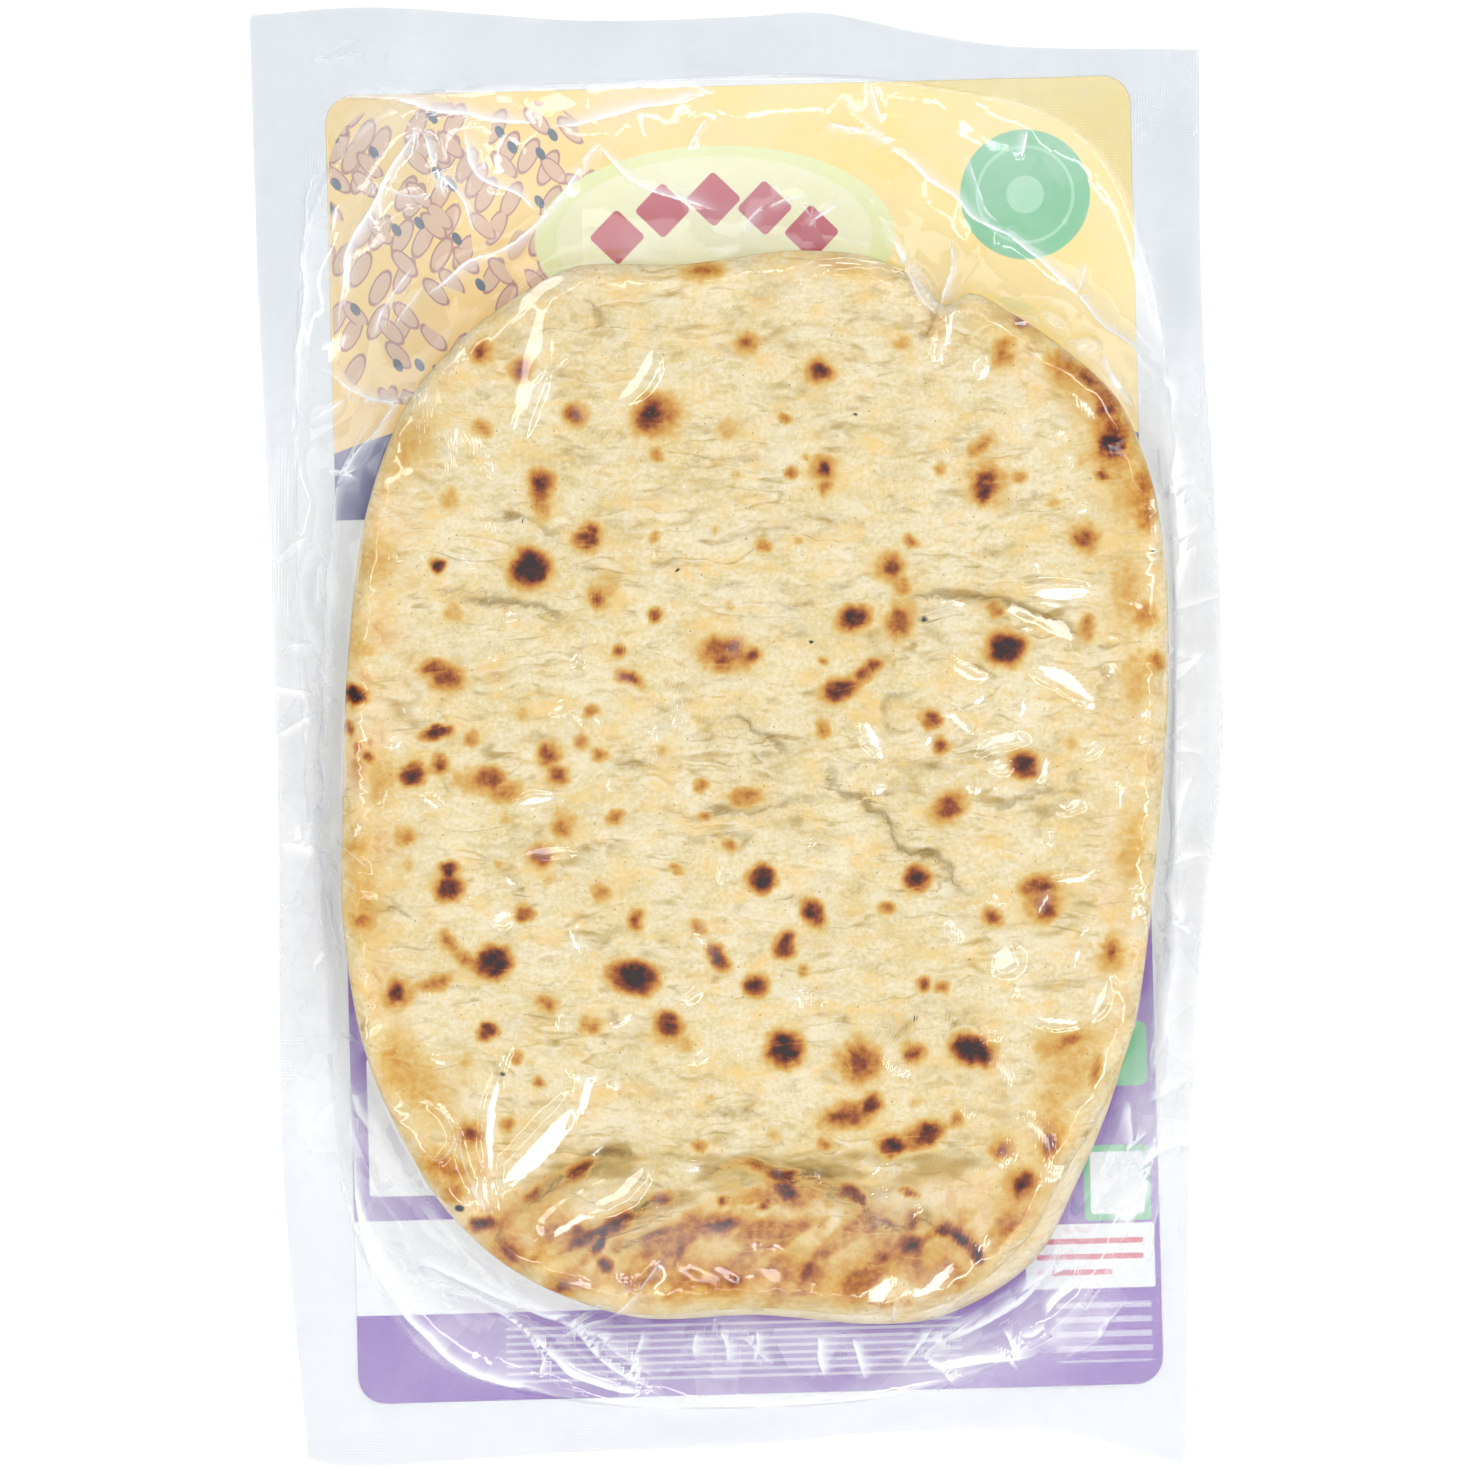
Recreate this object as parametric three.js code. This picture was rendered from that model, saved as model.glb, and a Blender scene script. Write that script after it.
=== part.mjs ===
// A sealed clear pack of naan bread, lying on its printed film with the clear side up.
// Millimetres, +Z up, +Y towards the pack's top edge. The origin is on the underside, at the
// middle of the pack's length and width.
//
// Two solids, touching face to face with a hair gap:
//   printed_film  the flat back film, from the table up
//   clear_bag     the clear film drawn over two stacked breads, with its flat sealed border

import * as THREE from "three";

// ---- Driving dimensions ------------------------------------------------------------------

const BACK_FILM_THICK = 0.6; // the printed film, thick enough to hold its shape as a solid
const HAIR_GAP = 0.3; // between the printed film and the bag that lies on it
const BORDER_THICK = 0.9; // the sealed border of the bag

const BREAD_THICK = 9.6; // one bread, at its middle
const RIM_ROLL = 7.5; // how far in from its edge a bread's top face rolls over
const RIM_DROP = 5.2; // and how far it has dropped at the edge itself
const LOWER_RIM_ROLL = 3.5; // the lower bread shows only its edge
const LOWER_RIM_DROP = 4.0;

const TENT_SAG = 1.7; // power of the film's fall from the bread to the border: 1 is a straight tent
const DIRECTIONS = 120; // rays from the middle of the bread to the edge of the pack
const TENT_STEPS = 7; // rings on the film between the bread and the border
const RIM_STEPS = 15; // rings on the outer part of the bread, where the rim and the folds are
const CROWN_STEPS = 11; // rings on the inner part
const RIM_PART = 0.71; // share of the bread's radius where the inner part begins

const BACK_TOP = BACK_FILM_THICK;
const BAG_BOTTOM = BACK_TOP + HAIR_GAP;
const BORDER_TOP = BAG_BOTTOM + BORDER_THICK;
const STACK_TOP = BAG_BOTTOM + 2 * BREAD_THICK;
const LOWER_TOP = BAG_BOTTOM + BREAD_THICK;

// The middle of the bread, which the rays start from.
const HUB = new THREE.Vector2(3.3, -9.6);

// ---- Outlines, all counter-clockwise seen from above -------------------------------------

// The pack was cut from a roll: four nearly straight sides that bow a little, and sharp corners.
const PACK_SIDES = {
  top: [
    [83.2, 123.6], [47.6, 124.3], [32.9, 126.6], [15, 130.2],
    [0.6, 129.5], [-26.2, 128.8], [-66.3, 131.1], [-87.6, 129.7],
  ],
  left: [
    [-87.6, 129.7], [-86, 80.9], [-84.2, 42.6], [-82.5, -11.4], [-81.6, -77.1], [-77, -129.9],
  ],
  bottom: [
    [-77, -129.9], [-71.4, -131.1], [-29.1, -128.8], [4.2, -127.2],
    [26.2, -125.2], [58.2, -125.2], [80.9, -131.1],
  ],
  right: [
    [80.9, -131.1], [81.5, -78.2], [83.8, -36.6], [87.2, -7.5],
    [87.6, 5.7], [86.1, 42.6], [83.8, 75.2], [83.2, 123.6],
  ],
};

// Where the clear film leaves the border and starts to rise: a formed tray with round corners.
const CAVITY = [
  [78.6, 42], [74.5, 82], [62, 108], [30, 117.5], [-30, 117], [-62, 113], [-75.5, 96],
  [-79, 46.5], [-77.4, -9], [-74, -44], [-69.5, -85], [-56, -110], [-30, -119],
  [4, -120.5], [32, -117.5], [58, -106], [73, -82], [78, -48], [79.4, 0],
];

// The two breads together, as they show under the film.
const STACK = [
  [76.8, 10], [76.2, 31.6], [73.7, 46], [68, 59.7], [59.7, 67.8], [49.4, 75], [41.5, 78.8],
  [37.2, 76.6], [32.1, 81.3], [24, 85.2], [15.8, 86.3], [8.2, 86.3], [-9.1, 84], [-28.4, 83.6],
  [-34.1, 81.1], [-46.5, 72.8], [-57.7, 60.4], [-65.3, 41.9], [-69, 15.2], [-70.1, -15.8],
  [-70.1, -32], [-65.8, -56.8], [-56.1, -77.7], [-48.7, -87.8], [-37, -97.3], [-18.6, -104.1],
  [4.2, -103.8], [26.2, -105.4], [37.4, -103.8], [53.2, -94.2], [60.9, -80.4], [67.6, -64.2],
  [71.4, -48.5], [74.8, -20],
];

// The upper bread sits a little higher up the pack, so the lower one's edge shows at the bottom.
// Each entry is the ray's bearing in degrees and how far the upper edge is inside the stack's.
const LEDGE = [
  [-130, 0], [-112, 0.8], [-95, 2], [-80, 2.4], [-68, 3], [-60, 4.6], [-52, 4.2], [-42, 1.6], [-32, 0],
];

// ---- The folds, the blister and the swell of the upper bread ------------------------------

// Each valley is a line on the bread, with how deep it is and how wide its sides are.
const VALLEYS = [
  { line: [[-42.6, -88.5], [-35.2, -80.7], [-24.5, -74.8], [-18, -73.8]], deep: 3, wide: 2.2 },
  { line: [[-34.3, -94.7], [-26.2, -88.8], [-16.3, -83.8], [-4.6, -82.5]], deep: 2.8, wide: 2 },
  { line: [[-6.6, -76.6], [0.8, -75], [7.5, -77.8], [18.3, -76]], deep: 1.8, wide: 2.2 },
  { line: [[15.8, -79.5], [22.8, -83.2], [28.5, -86.8], [38.8, -88.6], [43, -92.6]], deep: 2, wide: 2.2 },
  { line: [[36.5, 78], [34.5, 72], [30.5, 67]], deep: 1.6, wide: 2.6 },
];

const BLISTER = { x: 46, y: 10.2, along: 20, across: 14.5, rise: 1.5 };
const LIP = { x: 4, y: -93, along: 42, across: 6.5, rise: 1.5 };
const HOOK_HOLE = { x: -25.4, y: 74.2, along: 3, across: 3.2, rise: -2.4 };

// ---- Helpers -------------------------------------------------------------------------------

const smooth = (t) => THREE.MathUtils.smoothstep(t, 0, 1);

// A smooth curve through points, as a fine polyline.
function polyline(points, closed, steps) {
  const vectors = points.map(([x, y]) => new THREE.Vector3(x, y, 0));
  return new THREE.CatmullRomCurve3(vectors, closed, "centripetal").getPoints(steps);
}

// The distance from the hub to a closed polyline along one bearing.
function reach(outline, bearing) {
  const dx = Math.cos(bearing);
  const dy = Math.sin(bearing);
  let far = 0;
  for (let i = 0; i < outline.length; i += 1) {
    const a = outline[i];
    const b = outline[(i + 1) % outline.length];
    const ax = a.x - HUB.x;
    const ay = a.y - HUB.y;
    const ex = b.x - a.x;
    const ey = b.y - a.y;
    const cross = dx * ey - dy * ex;
    if (Math.abs(cross) < 1e-9) continue;
    const along = (ax * ey - ay * ex) / cross;
    const share = (ax * dy - ay * dx) / cross;
    if (share >= -1e-9 && share <= 1 + 1e-9) far = Math.max(far, along);
  }
  return far;
}

// A value read off a list of [bearing in degrees, value], straight between its entries.
function readOff(list, degrees) {
  for (let i = 1; i < list.length; i += 1) {
    const [d0, v0] = list[i - 1];
    const [d1, v1] = list[i];
    if (degrees >= d0 && degrees <= d1) return v0 + ((v1 - v0) * (degrees - d0)) / (d1 - d0);
  }
  return 0;
}

// The distance from a point to a polyline.
function distanceTo(line, x, y) {
  let near = Infinity;
  for (let i = 1; i < line.length; i += 1) {
    const [ax, ay] = line[i - 1];
    const [bx, by] = line[i];
    const ex = bx - ax;
    const ey = by - ay;
    const share = THREE.MathUtils.clamp(((x - ax) * ex + (y - ay) * ey) / (ex * ex + ey * ey), 0, 1);
    near = Math.min(near, Math.hypot(x - ax - share * ex, y - ay - share * ey));
  }
  return near;
}

// A soft round hump or hollow.
function hump({ x: cx, y: cy, along, across, rise }, x, y) {
  return rise * Math.exp(-(((x - cx) / along) ** 2 + ((y - cy) / across) ** 2));
}

// A blister: nearly flat on top, with a quick fall at its edge.
function blister({ x: cx, y: cy, along, across, rise }, x, y) {
  const out = Math.hypot((x - cx) / along, (y - cy) / across);
  return rise * (1 - smooth((out - 0.75) / 0.4));
}

// How far the rolled rim of a bread has dropped, at a distance in from its edge: a quarter ellipse.
function rimDrop(inward, roll, drop) {
  const t = THREE.MathUtils.clamp(inward / roll, 0, 1);
  return drop * (1 - Math.sqrt(1 - (1 - t) ** 2));
}

// ---- Heights ---------------------------------------------------------------------------------

// The upper bread's top face at a point that lies inward from its own edge.
function upperBread(x, y, inward) {
  if (inward < 0) return 0;
  const swell = 0.45 * Math.sin(x / 11 + 0.6) * Math.cos(y / 17) + 0.35 * Math.sin(y / 9.5 + x / 40);
  const valleys = VALLEYS.map(({ line, deep, wide }) => deep * Math.exp(-((distanceTo(line, x, y) / wide) ** 2)));
  const relief = swell + blister(BLISTER, x, y) + hump(LIP, x, y) + hump(HOOK_HOLE, x, y);
  const fade = smooth(inward / RIM_ROLL);
  return STACK_TOP - rimDrop(inward, RIM_ROLL, RIM_DROP) + fade * (relief - Math.max(...valleys));
}

// The lower bread's top face, of which only the rim shows.
function lowerBread(inward) {
  return LOWER_TOP - rimDrop(inward, LOWER_RIM_ROLL, LOWER_RIM_DROP);
}

// ---- The bag -----------------------------------------------------------------------------------

const packEdge = Object.values(PACK_SIDES).flatMap((side) => polyline(side, false, 80).slice(0, -1));
const cavityEdge = polyline(CAVITY, true, 360);
const stackEdge = polyline(STACK, true, 540);

// The bearings of the rays: evenly spaced, with the nearest one turned to meet each corner.
function bearings() {
  const rays = Array.from({ length: DIRECTIONS }, (_, i) => -Math.PI + (2 * Math.PI * i) / DIRECTIONS);
  for (const [corner] of Object.values(PACK_SIDES)) {
    const wanted = Math.atan2(corner[1] - HUB.y, corner[0] - HUB.x);
    const nearest = Math.round(((wanted + Math.PI) / (2 * Math.PI)) * DIRECTIONS) % DIRECTIONS;
    rays[nearest] = wanted;
  }
  return rays;
}

// One ray of the bag's surface, as [distance from the hub, height], from the border's lower edge
// over the film and the breads towards the hub.
function ray(bearing) {
  const edge = reach(packEdge, bearing);
  const cavity = reach(cavityEdge, bearing);
  const stack = reach(stackEdge, bearing);
  const upper = stack - readOff(LEDGE, THREE.MathUtils.radToDeg(bearing));
  const top = (distance) => {
    const x = HUB.x + distance * Math.cos(bearing);
    const y = HUB.y + distance * Math.sin(bearing);
    return Math.max(upperBread(x, y, upper - distance), lowerBread(stack - distance));
  };
  const profile = [[edge, BAG_BOTTOM], [edge, BORDER_TOP], [cavity, BORDER_TOP]];
  const shoulder = top(stack);
  for (let i = 1; i < TENT_STEPS; i += 1) {
    const share = i / TENT_STEPS;
    const height = BORDER_TOP + (shoulder - BORDER_TOP) * share ** TENT_SAG;
    profile.push([cavity + (stack - cavity) * share, height]);
  }
  for (let i = 0; i < RIM_STEPS; i += 1) {
    const distance = stack * (1 - ((1 - RIM_PART) * i) / RIM_STEPS);
    profile.push([distance, top(distance)]);
  }
  for (let i = 0; i < CROWN_STEPS; i += 1) {
    const distance = stack * RIM_PART * (1 - i / CROWN_STEPS);
    profile.push([distance, top(distance)]);
  }
  return profile;
}

// The bag as one closed surface: the rays side by side, closed at the hub above and below.
function bagGeometry() {
  const rays = bearings();
  const profiles = rays.map(ray);
  const rings = profiles[0].length;
  const positions = [];
  const faces = [];
  profiles.forEach((profile, i) => {
    const dx = Math.cos(rays[i]);
    const dy = Math.sin(rays[i]);
    profile.forEach(([distance, height]) => positions.push(HUB.x + distance * dx, HUB.y + distance * dy, height));
  });
  const crown = profiles.length * rings;
  positions.push(HUB.x, HUB.y, upperBread(HUB.x, HUB.y, Infinity));
  positions.push(HUB.x, HUB.y, BAG_BOTTOM);
  profiles.forEach((_, i) => {
    const here = i * rings;
    const next = ((i + 1) % profiles.length) * rings;
    for (let j = 0; j + 1 < rings; j += 1) {
      faces.push(here + j, next + j, next + j + 1);
      faces.push(here + j, next + j + 1, here + j + 1);
    }
    faces.push(here + rings - 1, next + rings - 1, crown);
    faces.push(next, here, crown + 1);
  });
  const geometry = new THREE.BufferGeometry();
  geometry.setAttribute("position", new THREE.Float32BufferAttribute(positions, 3));
  geometry.setIndex(faces);
  geometry.computeVertexNormals();
  return geometry;
}

// ---- The printed film ----------------------------------------------------------------------------

// A flat sheet of the pack's outline, cut at the same points as the bag's border.
function backFilmGeometry() {
  const outline = bearings().map((bearing) => {
    const edge = reach(packEdge, bearing);
    return new THREE.Vector2(HUB.x + edge * Math.cos(bearing), HUB.y + edge * Math.sin(bearing));
  });
  return new THREE.ExtrudeGeometry(new THREE.Shape(outline), { depth: BACK_FILM_THICK, bevelEnabled: false });
}

// ---- The pack ----------------------------------------------------------------------------------------

function named(name, geometry, color, roughness) {
  const mesh = new THREE.Mesh(geometry, new THREE.MeshStandardMaterial({ color, roughness, metalness: 0 }));
  mesh.name = name;
  return mesh;
}

const group = new THREE.Group();
group.add(named("printed_film", backFilmGeometry(), 0xb9a3cc, 0.3));
group.add(named("clear_bag", bagGeometry(), 0xecdcb4, 0.5));

export default group;
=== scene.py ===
"""A sealed clear pack of naan bread, lying on its printed film with the clear side up.

Two breads lie on each other between a flat printed film and a clear film that was drawn over
them and sealed all round. The code's sizes are millimetres, measured from the middle of the
pack: x to the right, y to the pack's upper end and z up. They become metres in add_piece.
"""

import logging
import math
from dataclasses import dataclass, field
from enum import Enum

import bpy
import numpy as np
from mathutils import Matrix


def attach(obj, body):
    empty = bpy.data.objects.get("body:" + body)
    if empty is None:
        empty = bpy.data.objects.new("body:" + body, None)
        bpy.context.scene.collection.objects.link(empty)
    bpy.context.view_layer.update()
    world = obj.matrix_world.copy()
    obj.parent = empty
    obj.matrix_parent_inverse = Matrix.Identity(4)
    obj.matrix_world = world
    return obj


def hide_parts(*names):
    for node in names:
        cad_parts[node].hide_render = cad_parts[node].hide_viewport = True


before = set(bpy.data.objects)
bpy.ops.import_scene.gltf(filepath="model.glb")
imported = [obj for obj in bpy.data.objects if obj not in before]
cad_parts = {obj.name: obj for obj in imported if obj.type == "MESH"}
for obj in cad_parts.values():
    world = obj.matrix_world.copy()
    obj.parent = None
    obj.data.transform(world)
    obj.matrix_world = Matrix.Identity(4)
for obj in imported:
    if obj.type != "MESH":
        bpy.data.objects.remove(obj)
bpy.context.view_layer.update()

log = logging.getLogger("naan_pack")
Array = np.ndarray
Point = tuple[float, float]
Spot = tuple[float, ...]
Ink = tuple[int, int, int]
Socket = bpy.types.NodeSocket

MM = 0.001
BODY = "root"
WHITE = (1.0, 1.0, 1.0, 1.0)
NO_FOLD = 9.0  # the distance to the nearest fold, in millimetres, where there is none
FOOT_TOP = -72.0  # the upper end of the upper bread's scorched foot


# ---- Plane geometry ------------------------------------------------------------------------


def eased(share: Array) -> Array:
    """Returns a share held to 0..1 and eased at both ends: 3 times its square less 2 times its cube."""
    held = np.clip(share, 0.0, 1.0)
    return held * held * (3.0 - 2.0 * held)


def smooth_line(points: tuple[Point, ...], closed: bool, per_span: int = 24) -> Array:
    """Returns a curve through the points.

    Each span is a cubic whose end slopes come from its neighbours, with the parameter growing as
    the square root of the distance between points (a centripetal Catmull-Rom curve).

    Args:
        points: the points that the curve passes.
        closed: whether the last point joins the first.
        per_span: how many points to give for each span.

    Returns:
        The curve's points, one row each.
    """
    p = np.asarray(points, float)
    if closed:
        before, here, there, after = p, np.roll(p, -1, 0), np.roll(p, -2, 0), np.roll(p, -3, 0)
    else:
        p = np.vstack([2 * p[0] - p[1], p, 2 * p[-1] - p[-2]])
        before, here, there, after = p[:-3], p[1:-2], p[2:-1], p[3:]
    first, span, last = (
        np.sqrt(np.linalg.norm(b - a, axis=1, keepdims=True)) + 1e-9
        for a, b in ((before, here), (here, there), (there, after))
    )
    leave = ((here - before) / first - (there - before) / (first + span)) * span + (there - here)
    arrive = (there - here) - (after - here) / (span + last) * span + (after - there) / last * span
    t = (np.arange(per_span) / per_span)[None, :, None]
    here, there, leave, arrive = (a[:, None, :] for a in (here, there, leave, arrive))
    line = (
        (2 * t**3 - 3 * t**2 + 1) * here
        + (t**3 - 2 * t**2 + t) * leave
        + (3 * t**2 - 2 * t**3) * there
        + (t**3 - t**2) * arrive
    )
    return line.reshape(-1, 2)


class Noise:
    """Seeded noise on the plane, from about -1 to 1.

    Every corner of a lattice has a random slope, and a point's value blends the four slopes round
    it with the fifth-degree ease 6t^5 - 15t^4 + 10t^3.
    """

    SIDE = 128

    def __init__(self, seed: int) -> None:
        """Draws the lattice's slopes.

        Args:
            seed: the seed, so that each run gives the same surface.
        """
        turn = np.random.default_rng(seed).random((self.SIDE, self.SIDE)) * 2.0 * math.pi
        self.slope_x, self.slope_y = np.cos(turn), np.sin(turn)

    def at(self, x: Array, y: Array, across: float, up: float | None = None) -> Array:
        """Returns the noise at points.

        Args:
            x, y: the points.
            across: the lattice's cell width.
            up: its height, the same as its width if it isn't given.
        """
        u = x / across + 0.37
        v = y / (up or across) + 0.71
        column, row = np.floor(u).astype(int), np.floor(v).astype(int)
        fu, fv = u - column, v - row

        def corner(right: int, above: int) -> Array:
            """Returns what one corner's slope gives at the points."""
            i, j = (column + right) % self.SIDE, (row + above) % self.SIDE
            return self.slope_x[i, j] * (fu - right) + self.slope_y[i, j] * (fv - above)

        wu = fu**3 * (fu * (6 * fu - 15) + 10)
        wv = fv**3 * (fv * (6 * fv - 15) + 10)
        low = corner(0, 0) * (1 - wu) + corner(1, 0) * wu
        high = corner(0, 1) * (1 - wu) + corner(1, 1) * wu
        return 1.5 * (low * (1 - wv) + high * wv)

    def rough(self, x: Array, y: Array, across: float, up: float | None = None, layers: int = 3) -> Array:
        """Returns noise with finer layers added, each half as wide and half as strong as the last."""
        tall = up or across
        return sum(
            self.at(x + 31.7 * k, y - 17.3 * k, across / 2**k, tall / 2**k) / 2**k for k in range(layers)
        )

    def veins(self, x: Array, y: Array, across: float, up: float, count: float) -> Array:
        """Returns lines that run like the contours of the noise, 1 on a line and 0 midway between two.

        It is one less the size of the sine of the noise times count.
        """
        return 1.0 - np.abs(np.sin(self.rough(x, y, across, up, 2) * count))

    def facets(self, x: Array, y: Array, size: float) -> Array:
        """Returns flat triangles between random heights, as in crumpled film.

        The plane is shifted by noise and cut into squares, each square into two triangles, and the
        height is linear in each triangle.

        Args:
            x, y: the points.
            size: the squares' side.
        """
        u = x / size + 0.75 * self.at(x, y, 2.2 * size)
        v = y / size + 0.75 * self.at(x + 91, y + 47, 2.2 * size)
        i, j = np.floor(u).astype(int), np.floor(v).astype(int)
        fu, fv = u - i, v - j
        h00, h10, h01, h11 = (self.slope_x[(i + a) % self.SIDE, (j + b) % self.SIDE]
                              for a, b in ((0, 0), (1, 0), (0, 1), (1, 1)))
        low = h00 + fu * (h10 - h00) + fv * (h01 - h00)
        high = h11 + (1 - fu) * (h01 - h11) + (1 - fv) * (h10 - h11)
        return np.where(fu + fv < 1, low, high)


@dataclass(frozen=True)
class Fold:
    """A fold line: its points, its depth (or height) and the width of its sides."""

    line: tuple[Point, ...]
    deep: float
    wide: float


@dataclass(frozen=True)
class FoldField:
    """What a set of folds gives at points: the signed distance to the nearest, its share, and the relief."""

    side: Array
    share: Array
    press: Array


def lay_folds(folds: tuple[Fold, ...], x: Array, y: Array, blunt: float = 0.2) -> FoldField:
    """Returns the field of a set of folds.

    A fold's relief is its depth times a falling exponential of the distance over its width, with a
    blunt bottom, and both of its ends taper over a quarter of its length. The deepest valley and
    the highest ridge are added up.

    Args:
        folds: the folds.
        x, y: the points.
        blunt: the radius that rounds the fold's bottom.
    """
    side, share = np.full(x.shape, NO_FOLD), np.zeros(x.shape)
    valley, ridge = np.zeros(x.shape), np.zeros(x.shape)
    for fold in folds:
        line = smooth_line(fold.line, False, 6)
        reach = 3.0 + 4.5 * fold.wide
        (low_x, low_y), (high_x, high_y) = line.min(0) - reach, line.max(0) + reach
        near = np.flatnonzero((x > low_x) & (x < high_x) & (y > low_y) & (y < high_y))
        px, py = x[near], y[near]
        away, along, sign = np.full(px.shape, np.inf), np.zeros(px.shape), np.ones(px.shape)
        for k, ((ax, ay), (bx, by)) in enumerate(zip(line[:-1], line[1:])):
            ex, ey = bx - ax, by - ay
            part = np.clip(((px - ax) * ex + (py - ay) * ey) / (ex * ex + ey * ey), 0.0, 1.0)
            dx, dy = px - ax - part * ex, py - ay - part * ey
            distance = np.hypot(dx, dy)
            closer = distance < away
            away = np.where(closer, distance, away)
            along = np.where(closer, (k + part) / (len(line) - 1), along)
            sign = np.where(closer, np.where(ex * dy > ey * dx, 1.0, -1.0), sign)
        taper = eased(np.minimum(along, 1 - along) / 0.25 + 0.06)
        relief = fold.deep * taper * np.exp(-(np.hypot(away, blunt) - blunt) / fold.wide)
        valley[near], ridge[near] = np.maximum(valley[near], relief), np.minimum(ridge[near], relief)
        if fold.deep > 0:
            nearer = away < np.abs(side[near])
            strength = min(1.0, fold.deep) * taper * np.exp(-((away / 1.8) ** 2))
            side[near] = np.where(nearer, away * sign, side[near])
            share[near] = np.where(nearer, strength, share[near])
    return FoldField(side, share, valley + ridge)


# ---- Meshes --------------------------------------------------------------------------------


@dataclass(frozen=True)
class DiscGrid:
    """A grid of squares bent to fill a closed outline round the hub.

    A square's point is turned into a share of the way out, the larger of its two coordinates, and
    a bearing, an eighth of a turn times their ratio, counted from the nearer axis.
    """

    columns: int
    rows: int

    def places(self) -> tuple[Array, Array]:
        """Returns each point's share of the way out and its bearing."""
        a, b = np.meshgrid(np.linspace(-1, 1, self.columns + 1), np.linspace(-1, 1, self.rows + 1))
        wide = np.abs(a) >= np.abs(b)
        larger = np.where(wide, a, b)
        ratio = np.divide(np.where(wide, b, a), larger, out=np.zeros_like(a), where=larger != 0)
        bearing = np.where(wide, ratio * math.pi / 4, math.pi / 2 - ratio * math.pi / 4)
        bearing = np.where(larger < 0, bearing + math.pi, bearing)
        return np.abs(larger).ravel(), bearing.ravel()

    def faces(self) -> Array:
        """Returns the grid's quads, facing up."""
        i, j = np.meshgrid(np.arange(self.columns), np.arange(self.rows))
        start = (j * (self.columns + 1) + i).ravel()
        return np.stack([start, start + 1, start + self.columns + 2, start + self.columns + 1], 1)

    def edge(self) -> Array:
        """Returns the indices of the points on the outline, counter-clockwise."""
        index = np.arange((self.columns + 1) * (self.rows + 1)).reshape(self.rows + 1, -1)
        return np.concatenate([index[:-1, -1], index[-1, :0:-1], index[:0:-1, 0], index[0, :-1]])


def ring_faces(first: Array, start: int, rings: int) -> Array:
    """Returns the quads of a strip of rings that begins at a loop of points.

    Args:
        first: the indices of the loop.
        start: the index of the first ring's first point. The rings follow each other.
        rings: how many rings follow the loop.
    """
    count = len(first)
    loops = np.vstack([first, start + np.arange(rings * count).reshape(rings, count)])
    ahead = np.roll(loops, -1, 1)
    return np.stack([loops[:-1], loops[1:], ahead[1:], ahead[:-1]], -1).reshape(-1, 4)


def add_piece(name: str, node: str, points: Array, faces: list[Array], marks: dict[str, Array],
              finish: bpy.types.Material) -> bpy.types.Object:
    """Makes a smooth-shaded piece at the origin that rides on the part's body.

    Args:
        name: the piece's name.
        node: the CAD node that it replaces.
        points: its points in millimetres, one row each.
        faces: arrays of quads or triangles.
        marks: values kept at the points, by name, for the finish to read.
        finish: the piece's material.
    """
    mesh = bpy.data.meshes.new(name)
    mesh.from_pydata((points * MM).tolist(), [], [face for block in faces for face in block.tolist()])
    mesh.polygons.foreach_set("use_smooth", np.ones(len(mesh.polygons), bool))
    for mark, values in marks.items():
        layer = mesh.attributes.new(mark, "FLOAT", "POINT")
        layer.data.foreach_set("value", np.ascontiguousarray(values, np.float32))
    mesh.materials.append(finish)
    piece = bpy.data.objects.new(name, mesh)
    bpy.context.scene.collection.objects.link(piece)
    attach(piece, BODY)
    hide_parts(node)
    return piece


# ---- Node trees ----------------------------------------------------------------------------


def srgb(red: int, green: int, blue: int) -> tuple[float, float, float, float]:
    """Returns the linear values of a colour.

    Args:
        red, green, blue: the colour in the 0..255 steps of a picture.
    """
    steps = np.array([red, green, blue]) / 255.0
    linear = np.where(steps <= 0.04045, steps / 12.92, ((steps + 0.055) / 1.055) ** 2.4)
    return (*linear.tolist(), 1.0)


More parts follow.
